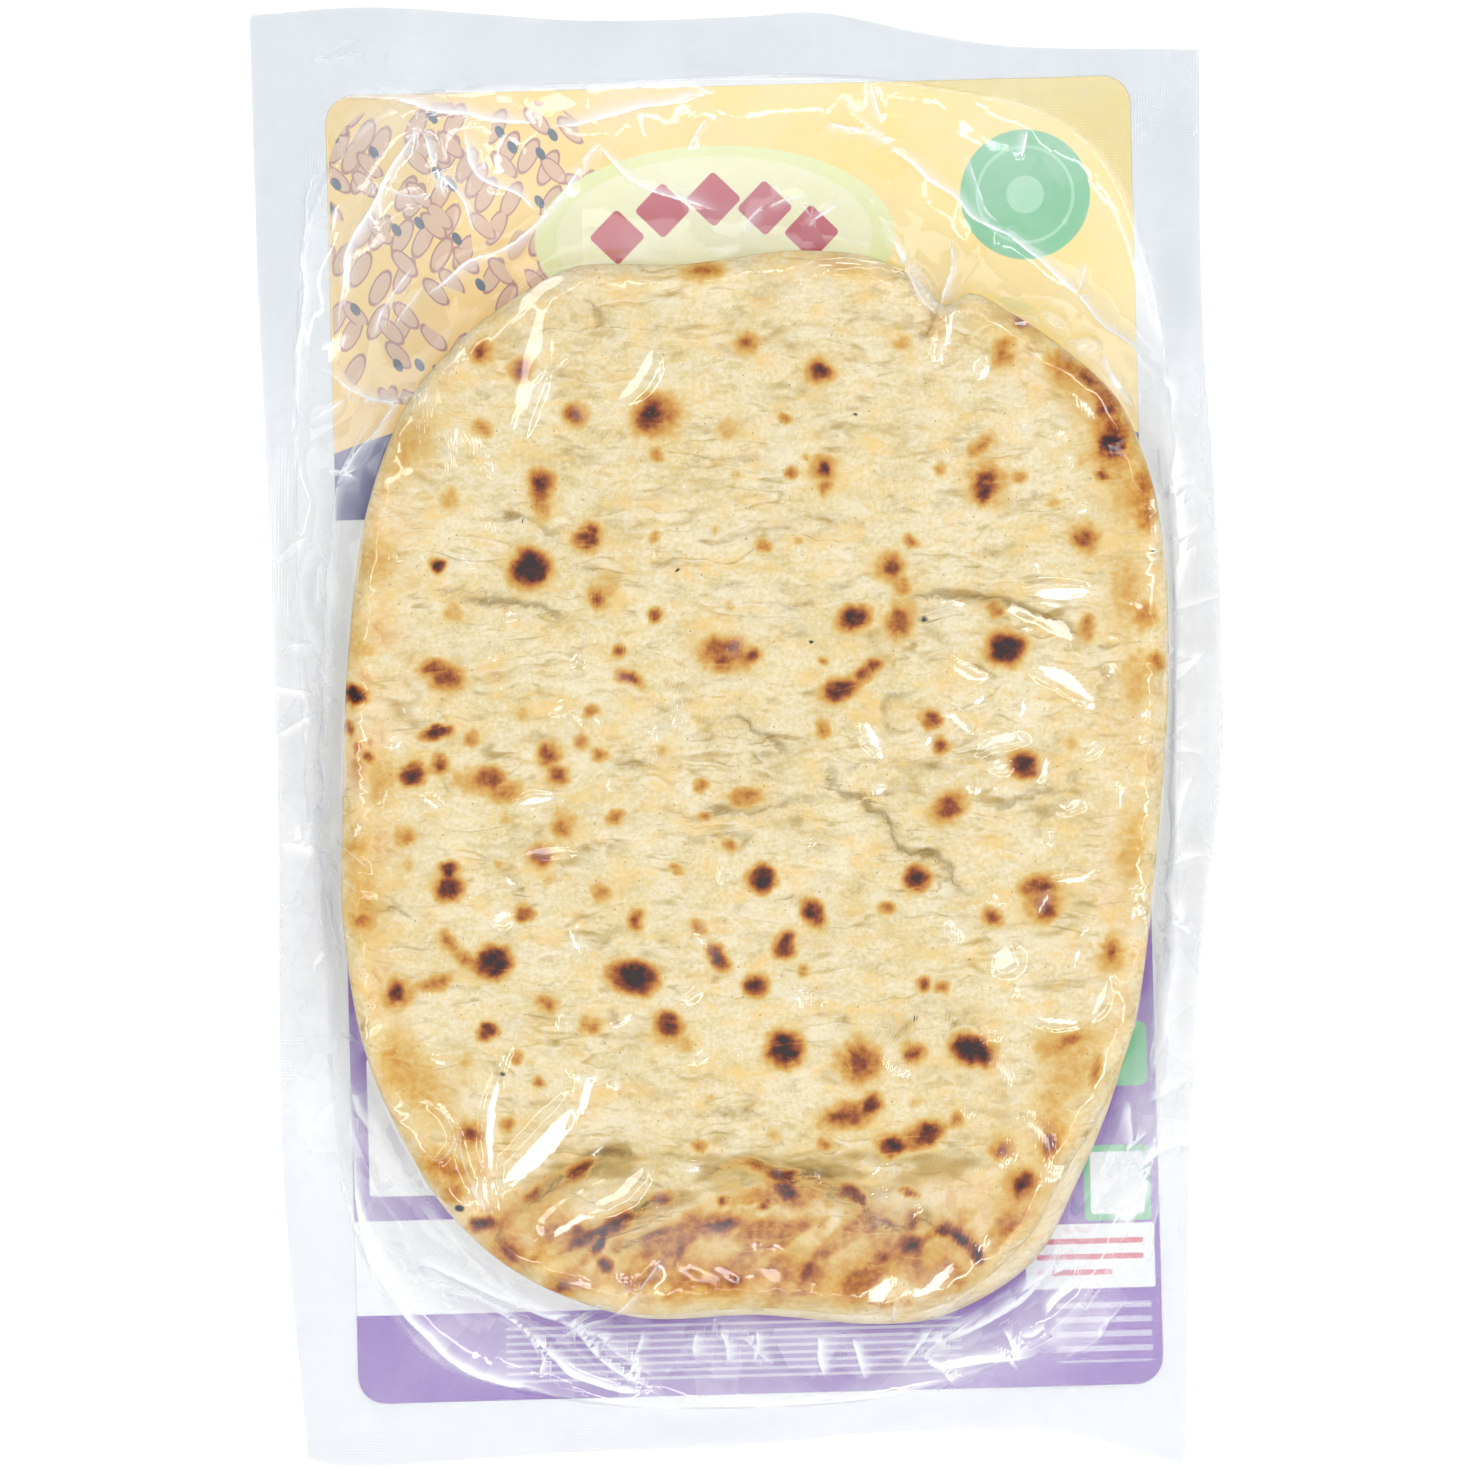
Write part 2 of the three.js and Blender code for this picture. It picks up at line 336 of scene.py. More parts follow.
@dataclass
class Nodes:
    """A node tree that is being built."""

    tree: bpy.types.NodeTree

    def add(self, kind: str, inputs: dict | None = None, **settings: object) -> bpy.types.Node:
        """Adds a node.

        Args:
            kind: the node's type, without its "ShaderNode" beginning.
            inputs: what goes into its sockets, by name or number: a socket to link, or a value.
            settings: the node's own properties.
        """
        node = self.tree.nodes.new("ShaderNode" + kind)
        for key, value in settings.items():
            setattr(node, key, value)
        for key, value in (inputs or {}).items():
            if isinstance(value, bpy.types.NodeSocket):
                self.tree.links.new(value, node.inputs[key])
            else:
                node.inputs[key].default_value = value
        return node

    def math(self, operation: str, a: Socket | float, b: Socket | float = 0.0, clamp: bool = False) -> Socket:
        """Returns the result of a Math node on a and b."""
        return self.add("Math", {0: a, 1: b}, operation=operation, use_clamp=clamp).outputs[0]

    def times(self, a: Socket | float, b: Socket | float) -> Socket:
        """Returns a times b."""
        return self.math("MULTIPLY", a, b)

    def total(self, *parts: tuple[Socket, float]) -> Socket:
        """Returns the sum of sockets, each times its own factor."""
        result = None
        for socket, factor in parts:
            scaled = self.math("MULTIPLY", socket, factor)
            result = scaled if result is None else self.math("ADD", result, scaled)
        return result

    def mix(self, share: Socket | float, a: Socket | Ink, b: Socket | Ink) -> Socket:
        """Returns colour a turned towards colour b by share, where either may be an ink."""
        a, b = (srgb(*end) if isinstance(end, tuple) else end for end in (a, b))
        return self.add("Mix", {0: share, 6: a, 7: b}, data_type="RGBA").outputs[2]

    def output(self, shader: bpy.types.Node) -> None:
        """Makes a shader the material's surface."""
        self.tree.links.new(shader.outputs[0], self.add("OutputMaterial").inputs["Surface"])

    def spread(
        self, value: Socket, low: float, high: float, to_low: float = 0.0, to_high: float = 1.0
    ) -> Socket:
        """Returns a value with low..high carried to to_low..to_high, eased and held there."""
        node = self.add("MapRange", {0: value, 1: low, 2: high, 3: to_low, 4: to_high},
                        interpolation_type="SMOOTHSTEP")
        return node.outputs[0]

    def vector(self, operation: str, a: Socket, b: Socket | tuple = (0, 0, 0)) -> bpy.types.Node:
        """Returns a Vector Math node on a and b."""
        return self.add("VectorMath", {0: a, 1: b}, operation=operation)

    def mark(self, name: str) -> Socket:
        """Returns a value kept at the mesh's points."""
        return self.add("Attribute", attribute_name=name).outputs["Fac"]

    def place(self) -> Socket:
        """Returns the object coordinates."""
        return self.add("TexCoord").outputs["Object"]

    def stretch(self, place: Socket, x: float, y: float, turn: float = 0.0) -> Socket:
        """Returns a place measured along axes turned by degrees, multiplied by x and y."""
        return self.add("Mapping", {"Vector": place, "Rotation": (0.0, 0.0, math.radians(turn)),
                                    "Scale": (1.0 / x, 1.0 / y, 1.0)}, vector_type="TEXTURE").outputs[0]

    def bend(self, place: Socket, size: float, shift: float) -> Socket:
        """Returns a place moved in x and y by a noise of a size, both in millimetres."""
        colour = self.noise(place, size, 2.0).outputs["Color"]
        return self.add("VectorMath", {0: colour, 1: (2.0 * shift * MM, 2.0 * shift * MM, 0.0), 2: place},
                        operation="MULTIPLY_ADD").outputs[0]

    def noise(
        self, place: Socket, size: float, detail: float = 3.0, roughness: float = 0.55
    ) -> bpy.types.Node:
        """Returns a noise node whose blobs are about size millimetres across."""
        return self.add("TexNoise", {"Vector": place, "Scale": 1.0 / (size * MM), "Detail": detail,
                                     "Roughness": roughness})

    def cloud(self, place: Socket, size: float, detail: float = 3.0, roughness: float = 0.55) -> Socket:
        """Returns such a noise's value."""
        return self.noise(place, size, detail, roughness).outputs["Fac"]

    def ramp(self, value: Socket, stops: tuple[tuple[float, Ink], ...]) -> Socket:
        """Returns the colour that a ramp gives for a value.

        Args:
            value: the value.
            stops: the ramp's places from 0 to 1 and their inks.
        """
        node = self.add("ValToRGB", {0: value})
        for _ in stops[2:]:
            node.color_ramp.elements.new(0.5)
        for element, (position, colour) in zip(node.color_ramp.elements, stops):
            element.position, element.color = position, srgb(*colour)
        return node.outputs[0]

    def bump(self, height: Socket) -> Socket:
        """Returns the normal of a relief given in millimetres."""
        return self.add("Bump", {"Height": height, "Strength": 1.0, "Distance": MM}).outputs[0]


def new_material(name: str) -> tuple[bpy.types.Material, Nodes]:
    """Returns an empty material and its node tree."""
    material = bpy.data.materials.new(name)
    material.use_nodes = True
    material.node_tree.nodes.clear()
    return material, Nodes(material.node_tree)


class Effect:
    """A shader group that is built once and placed in several materials."""

    def __init__(self, name: str, inputs: dict[str, str], outputs: dict[str, str]) -> None:
        """Makes the group's sockets.

        Args:
            name: the group's name.
            inputs, outputs: its sockets' types by name, without their "NodeSocket" beginning.
        """
        self.tree = bpy.data.node_groups.new(name, "ShaderNodeTree")
        for sockets, way in ((inputs, "INPUT"), (outputs, "OUTPUT")):
            for label, kind in sockets.items():
                self.tree.interface.new_socket(label, in_out=way, socket_type="NodeSocket" + kind)
        self.nodes = Nodes(self.tree)
        self.into = self.tree.nodes.new("NodeGroupInput").outputs
        self.out = self.tree.nodes.new("NodeGroupOutput").inputs

    def give(self, label: str, socket: Socket) -> None:
        """Links a socket inside the group to one of its outputs."""
        self.tree.links.new(socket, self.out[label])

    def put(self, nodes: Nodes, inputs: dict) -> bpy.types.bpy_prop_collection:
        """Places the group in a material's tree and returns its outputs.

        Args:
            nodes: the material's tree.
            inputs: what goes into the group's sockets.
        """
        return nodes.add("Group", inputs, node_tree=self.tree).outputs


# ---- The pack's form -----------------------------------------------------------------------


@dataclass(frozen=True)
class Hump:
    """A soft round rise, or a hollow if its rise is negative."""

    x: float
    y: float
    along: float
    across: float
    rise: float

    def lift(self, x: Array, y: Array) -> Array:
        """Returns the rise at points, a bell curve in both directions."""
        return self.rise * np.exp(-(((x - self.x) / self.along) ** 2 + ((y - self.y) / self.across) ** 2))


# Four nearly straight sides that bow a little, with sharp corners between them.
PACK_SIDES = (
    ((83.2, 123.6), (47.6, 124.3), (32.9, 126.6), (15, 130.2), (0.6, 129.5), (-26.2, 128.8), (-66.3, 131.1),
     (-87.6, 129.7)),
    ((-87.6, 129.7), (-86, 80.9), (-84.2, 42.6), (-82.5, -11.4), (-81.6, -77.1), (-77, -129.9)),
    ((-77, -129.9), (-71.4, -131.1), (-29.1, -128.8), (4.2, -127.2), (26.2, -125.2), (58.2, -125.2),
     (80.9, -131.1)),
    ((80.9, -131.1), (81.5, -78.2), (83.8, -36.6), (87.2, -7.5), (87.6, 5.7), (86.1, 42.6), (83.8, 75.2),
     (83.2, 123.6)),
)

# Where the clear film leaves the sealed border and starts to rise.
CAVITY = (
    (78.6, 42), (74.5, 82), (62, 108), (30, 117.5), (-30, 117), (-62, 113), (-75.5, 96), (-79, 46.5),
    (-77.4, -9), (-74, -44), (-69.5, -85), (-56, -110), (-30, -119), (4, -120.5), (32, -117.5), (58, -106),
    (73, -82), (78, -48), (79.4, 0),
)

# The two breads together, as they show under the film.
STACK = (
    (76.8, 10), (76.2, 31.6), (73.7, 46), (68, 59.7), (59.7, 67.8), (49.4, 75), (41.5, 78.8), (37.2, 76.6),
    (32.1, 81.3), (24, 85.2), (15.8, 86.3), (8.2, 86.3), (-9.1, 84), (-28.4, 83.6), (-34.1, 81.1),
    (-46.5, 72.8), (-57.7, 60.4), (-65.3, 41.9), (-69, 15.2), (-70.1, -15.8), (-70.1, -32), (-65.8, -56.8),
    (-56.1, -77.7), (-48.7, -87.8), (-37, -97.3), (-18.6, -104.1), (4.2, -103.8), (26.2, -105.4),
    (37.4, -103.8), (53.2, -94.2), (60.9, -80.4), (67.6, -64.2), (71.4, -48.5), (74.8, -20),
)

# How far the upper bread's edge is inside the stack's: bearings in degrees, and distances.
LEDGE_BEARINGS = (-180, -130, -112, -95, -80, -68, -60, -52, -42, -32, 180)
LEDGE_WIDTHS = (0, 0, 0.8, 2, 2.4, 3, 4.6, 4.2, 1.6, 0, 0)

# The upper bread's folds. A negative depth is a ridge between two of them.
FOLDS = (
    Fold(((-42.1, -86.5), (-36.7, -82.6), (-32, -79.1), (-27.3, -76.4), (-23.4, -74.2), (-19.5, -73.8),
          (-16.4, -74.6)), 2.3, 1.6),
    Fold(((-33.9, -94.7), (-29.6, -90.4), (-25.7, -88.5), (-21.8, -86.9), (-17.9, -84.6), (-14.8, -83),
          (-10.1, -82.2), (-5, -81.8)), 2.1, 1.4),
    Fold(((-24, -91.5), (-20, -90), (-16, -88.9), (-12.5, -87.3), (-8, -86.8)), 0.9, 1.2),
    Fold(((-8, -79.5), (-4.5, -77.6), (0.9, -75.3), (4.2, -75.9), (6.2, -77.4), (10, -78.4), (14.1, -78.4),
          (18.2, -80.3), (21.9, -82.4), (24, -84.9), (29, -86.9), (32.3, -85.3), (34.8, -86.5), (38.1, -88),
          (42.5, -91.8)), 1.7, 1.6),
    Fold(((23.2, -82.8), (23.6, -86.1), (26.5, -87.3)), 0.8, 1.0),
    Fold(((-48.4, -87.3), (-44.5, -86.5), (-41.9, -86.1)), 1.1, 0.9),
    Fold(((-42.1, -86.5), (-42.5, -89.6), (-40.6, -92.8), (-36.3, -95.9)), 1.1, 1.2),
    Fold(((36.5, 79.5), (35, 74), (32, 69.5)), 0.8, 1.6),
    Fold(((-31, -75.5), (-26, -72.8), (-20.5, -71.6)), -0.8, 1.6),
    Fold(((-36, -88.5), (-30, -84.5), (-22, -81), (-14, -79)), -1.2, 3.0),
    Fold(((-18, -93), (-5, -92.5), (8, -92), (20, -92.5)), -0.8, 3.0),
    Fold(((26.5, 22.6), (30.9, 24.6), (36, 25.4), (42, 25.2), (47, 24.3), (52, 22.8), (57.1, 20.7),
          (61.4, 17.6), (64, 14.2)), 0.9, 1.0),
    Fold(((31, 22.4), (36, 23.3), (42, 23.1), (47, 22.2), (52, 20.6), (56, 18.6), (59.6, 15.6)), -0.45, 1.3),
)
HUMPS = (Hump(4, -93, 42, 6.5, 1.2), Hump(-25.4, 74.2, 2.6, 3, -1.8), Hump(12, -79, 12, 4, -1.1))
BLISTER = Hump(46, 10.2, 20, 14.5, 1.4)

# Cracks and creases in the crust that are too fine for the solid.
CRACKS = (
    Fold(((-5.6, 3.4), (1.9, 2.7), (2.8, 0.8), (4.9, 0), (8.1, -2), (11.4, -3.4)), 1.1, 0.75),
    Fold(((-9, 4.6), (-6, 3.2), (-2, 3.4)), 0.5, 0.6),
    Fold(((15.5, -3.9), (16.4, -4.5), (18, -9.5), (22.6, -11), (23.5, -13.5), (26.6, -14.7), (28.4, -18.5),
          (31.4, -21), (34.8, -20.6), (37.9, -22.8), (38.8, -26.2), (40.4, -27.6), (46.5, -28)), 1.2, 0.6),
    Fold(((15.2, -7.7), (18, -9.5)), 0.8, 0.7),
    Fold(((22.6, -11.2), (25.6, -10), (30, -9.7)), 0.7, 0.7),
    Fold(((-9.1, 49.2), (-1.2, 49.1), (7.5, 51)), 0.5, 0.7),
    Fold(((35.6, 52.7), (42, 53.4)), 0.5, 0.7),
    Fold(((-22.5, -4.9), (-18.5, -4.9), (-14.5, -4.6)), 0.7, 0.6),
    Fold(((-7.7, -11.7), (-3.9, -12.3), (2.3, -13.1), (6.9, -12.3), (11, -11.4), (18.5, -10)), 0.7, 0.6),
    Fold(((-14.5, -12.6), (-11.6, -13.6), (-8.9, -14.1), (1.7, -14.5)), 0.5, 0.6),
    Fold(((-10.1, -18.8), (-6, -17.7), (-0.8, -17.5), (4.2, -17.2)), 0.6, 0.6),
    Fold(((21.3, -5), (37.9, -5.3), (44.9, -3.5), (48.3, -5.3)), 0.4, 0.6),
    Fold(((41.9, -11.4), (48.3, -11.8), (51.9, -10.2), (58.8, -9.3)), 0.7, 0.5),
    Fold(((54.8, -12.3), (52.7, -19.4)), 0.4, 0.5),
    Fold(((58.4, -8.7), (60.6, -5.3)), 0.4, 0.5),
    Fold(((-68.1, -31.1), (-60.8, -30.7), (-56.6, -33)), 0.8, 0.8),
    Fold(((-10.5, -67.2), (-1, -66.6), (8.6, -67.2)), 0.5, 0.8),
    Fold(((35, 8.2), (29.1, 7.1), (27.1, 6.9), (26.7, 2.8), (28, -1.7)), 0.6, 0.6),
    Fold(((-43.5, 40.6), (-37.9, 39.2), (-32.9, 36.3), (-29.4, 36.6)), 0.7, 0.7),
    Fold(((-50.4, 24.2), (-42.3, 24.2), (-35, 22.7), (-25.4, 19.1)), 1.0, 1.3),
    Fold(((-43.4, 25.6), (-41.2, 22.6)), 0.9, 0.7),
    Fold(((-55.2, 26), (-50.5, 25.8), (-46.5, 27)), 0.6, 0.8),
    Fold(((-47.1, 62), (-42.8, 59.5)), 0.5, 0.7),
    Fold(((-31.1, 51.2), (-28, 49.8), (-21.7, 49.6)), 0.5, 0.6),
    Fold(((-30.3, 30.7), (-24.2, 29.2), (-18, 28)), 0.5, 0.6),
    Fold(((-17, 30.2), (-11.8, 30.7), (-6.6, 30.7)), 0.5, 0.6),
    Fold(((-6.6, 27.4), (-2.3, 27), (3.3, 27.8)), 0.5, 0.6),
    Fold(((4.1, 23.1), (8.9, 22.8), (12.3, 23.7), (13.9, 25.3)), 0.6, 0.6),
    Fold(((15.2, 26.8), (19.5, 26.2), (22, 26.8)), 0.5, 0.6),
    Fold(((6.5, 18.1), (10.2, 18.4), (13.3, 19.1)), 0.5, 0.6),
    Fold(((2.4, -3.5), (7.7, -3.2)), 0.6, 0.7),
    Fold(((18.9, -6.3), (22.6, -4.8), (26.9, -3.9)), 0.5, 0.6),
    Fold(((-27.8, 77.4), (-25.6, 76.6), (-24.4, 73), (-26.4, 70.4)), 0.7, 1.1),
    Fold(((-24.6, 72.8), (-20.1, 69.6)), 0.4, 1.0),
)


class Outline:
    """A closed curve round the hub, read as its distance from the hub at a bearing."""

    def __init__(self, line: Array, hub: Point) -> None:
        """Sorts the curve's points by bearing.

        Args:
            line: the curve's points, one row each.
            hub: the point that the bearings are taken from.
        """
        away = line - np.asarray(hub)
        bearing = np.arctan2(away[:, 1], away[:, 0])
        order = np.argsort(bearing)
        self.bearing = bearing[order]
        self.distance = np.hypot(away[:, 0], away[:, 1])[order]

    def reach(self, bearing: Array) -> Array:
        """Returns the distance from the hub to the curve at each bearing."""
        return np.interp(bearing, self.bearing, self.distance, period=2.0 * math.pi)


@dataclass
class PackForm:
    """The outlines and heights that the breads and the films share, with the solid's own sizes."""

    hub: Point = (3.3, -9.6)
    bag_bottom: float = 0.9
    bread_thick: float = 9.6
    rim_roll: float = 3.8
    rim_drop: float = 2.4
    lower_rim_roll: float = 3.0
    lower_rim_drop: float = 2.8
    pack: Outline = field(init=False)
    cavity: Outline = field(init=False)
    stack: Outline = field(init=False)

    def __post_init__(self) -> None:
        """Draws the outlines and the noises."""
        self.pack = Outline(np.vstack([smooth_line(side, False, 60) for side in PACK_SIDES]), self.hub)
        self.cavity = Outline(smooth_line(CAVITY, True), self.hub)
        self.stack = Outline(smooth_line(STACK, True), self.hub)
        self.bread_noise = Noise(11)
        self.film_noise = Noise(23)
        self.border_noise = Noise(37)

    @property
    def stack_top(self) -> float:
        """The height of the two breads together."""
        return self.bag_bottom + 2 * self.bread_thick

    @property
    def lower_top(self) -> float:
        """The height of the lower bread."""
        return self.bag_bottom + self.bread_thick

    def polar(self, x: Array, y: Array) -> tuple[Array, Array]:
        """Returns the distance and the bearing of points from the hub."""
        return np.hypot(x - self.hub[0], y - self.hub[1]), np.arctan2(y - self.hub[1], x - self.hub[0])

    def plan(self, distance: Array, bearing: Array) -> tuple[Array, Array]:
        """Returns the x and y of points at distances and bearings from the hub."""
        return self.hub[0] + distance * np.cos(bearing), self.hub[1] + distance * np.sin(bearing)

    def upper_reach(self, bearing: Array) -> Array:
        """Returns the distance from the hub to the upper bread's edge."""
        turned = (np.degrees(bearing) + 180.0) % 360.0 - 180.0
        return self.stack.reach(bearing) - np.interp(turned, LEDGE_BEARINGS, LEDGE_WIDTHS)

    def rolled(self, inward: Array, roll: float, drop: float) -> Array:
        """Returns how far a rim has dropped at a distance in from its edge, by a power, steepest there."""
        return drop * (1.0 - np.clip(inward / roll, 0.0, 1.0)) ** 1.9

    def broad(self, x: Array, y: Array, film: bool = False) -> Array:
        """Returns the upper bread's broad relief without its folds: its swell, blister, lip and hollows.

        Args:
            x, y: the points.
            film: whether to soften it as film drawn over it does, which spans the hollows.
        """
        swell = 0.4 * np.sin(x / 11 + 0.6) * np.cos(y / 17) + 0.3 * np.sin(y / 9.5 + x / 40)
        out = np.hypot((x - BLISTER.x) / BLISTER.along, (y - BLISTER.y) / BLISTER.across)
        start, width = (0.25, 1.3) if film else (0.75, 0.35)
        blister = BLISTER.rise * (1 - eased((out - start) / width))
        humps = HUMPS[:1] if film else HUMPS
        return swell + blister + sum(hump.lift(x, y) for hump in humps)

    def grain(self, x: Array, y: Array) -> tuple[Array, Array]:
        """Returns the upper crust's fine relief and the shade of its grooves, which the finish paints into
        the colour.

        Baked dough is grained like wood: grooves along the contours of a noise that is three times
        as wide as it is high, on ground that other noises have shifted, deeper in some patches.

        Args:
            x, y: the points.
        """
        noise = self.bread_noise
        wx = x + 2.4 * noise.at(x, y, 15.0)
        wy = y + 1.4 * noise.at(x + 50, y, 12.0) + 0.5 * noise.at(x, y + 70, 4.2)
        here = eased(0.45 + 0.9 * noise.at(x, y, 21.0, 10.0))
        there = eased(0.5 + 0.9 * noise.at(x + 90, y + 33, 15.0, 8.0))
        broken = eased(0.5 + 1.1 * noise.at(x + 17, y + 5, 4.6, 2.6))
        long_grooves = here * (0.25 + 0.75 * broken) * noise.veins(wx, wy, 17.0, 5.6, 2.7) ** 2.4
        short_grooves = there * (0.3 + 0.7 * broken) * noise.veins(wx + 40, wy + 21, 8.0, 3.0, 2.3) ** 2.2
        hatch = noise.rough(wx, wy, 4.6, 1.7, 2)
        soft = noise.rough(x + 13, y, 9.5, 5.0)
        height = 0.24 * soft + 0.11 * hatch - 0.3 * long_grooves - 0.18 * short_grooves
        shade = 0.7 * long_grooves + 0.5 * short_grooves - 0.2 * hatch - 0.12 * soft
        return height, shade

    def lower_top_face(self, x: Array, y: Array) -> tuple[Array, Array]:
        """Returns the height of the lower bread's top face, of which only the rim shows, and the shade
        painted on its ripples.

        Args:
            x, y: the points.
        """
        distance, bearing = self.polar(x, y)
        inward = self.stack.reach(bearing) - distance
        height = self.lower_top - self.rolled(inward, self.lower_rim_roll, self.lower_rim_drop)
        ripple = 0.15 * self.bread_noise.rough(x + 200, y, 6.0)
        return height - 0.3 + ripple * eased(inward / 3.0), 0.3 * ripple

    def border_wave(self, x: Array, y: Array) -> Array:
        """Returns how far the sealed border stands off the table: nothing inside, a soft wave outside.

        Args:
            x, y: the points.
        """
        distance, bearing = self.polar(x, y)
        edge, inner = self.pack.reach(bearing), self.cavity.reach(bearing)
        out = eased((distance - inner) / np.maximum(edge - inner, 4.0))
        wave = 0.9 + 1.3 * self.border_noise.at(x, y, 46.0) + 0.5 * self.border_noise.at(x, y + 400, 17.0)
        return out * np.maximum(wave, 0.0)


# ---- Bread ---------------------------------------------------------------------------------


class Tone(Enum):
    """How far a spot is toasted: its middle's value, its spread for its radius, and its edge's power."""

    GOLD = (0.28, 1.05, 2.6)
    AMBER = (0.46, 1.02, 2.9)
    BROWN = (0.65, 1.0, 3.0)
    DARK = (0.86, 1.06, 3.6)
    BLACK = (1.05, 0.98, 4.2)


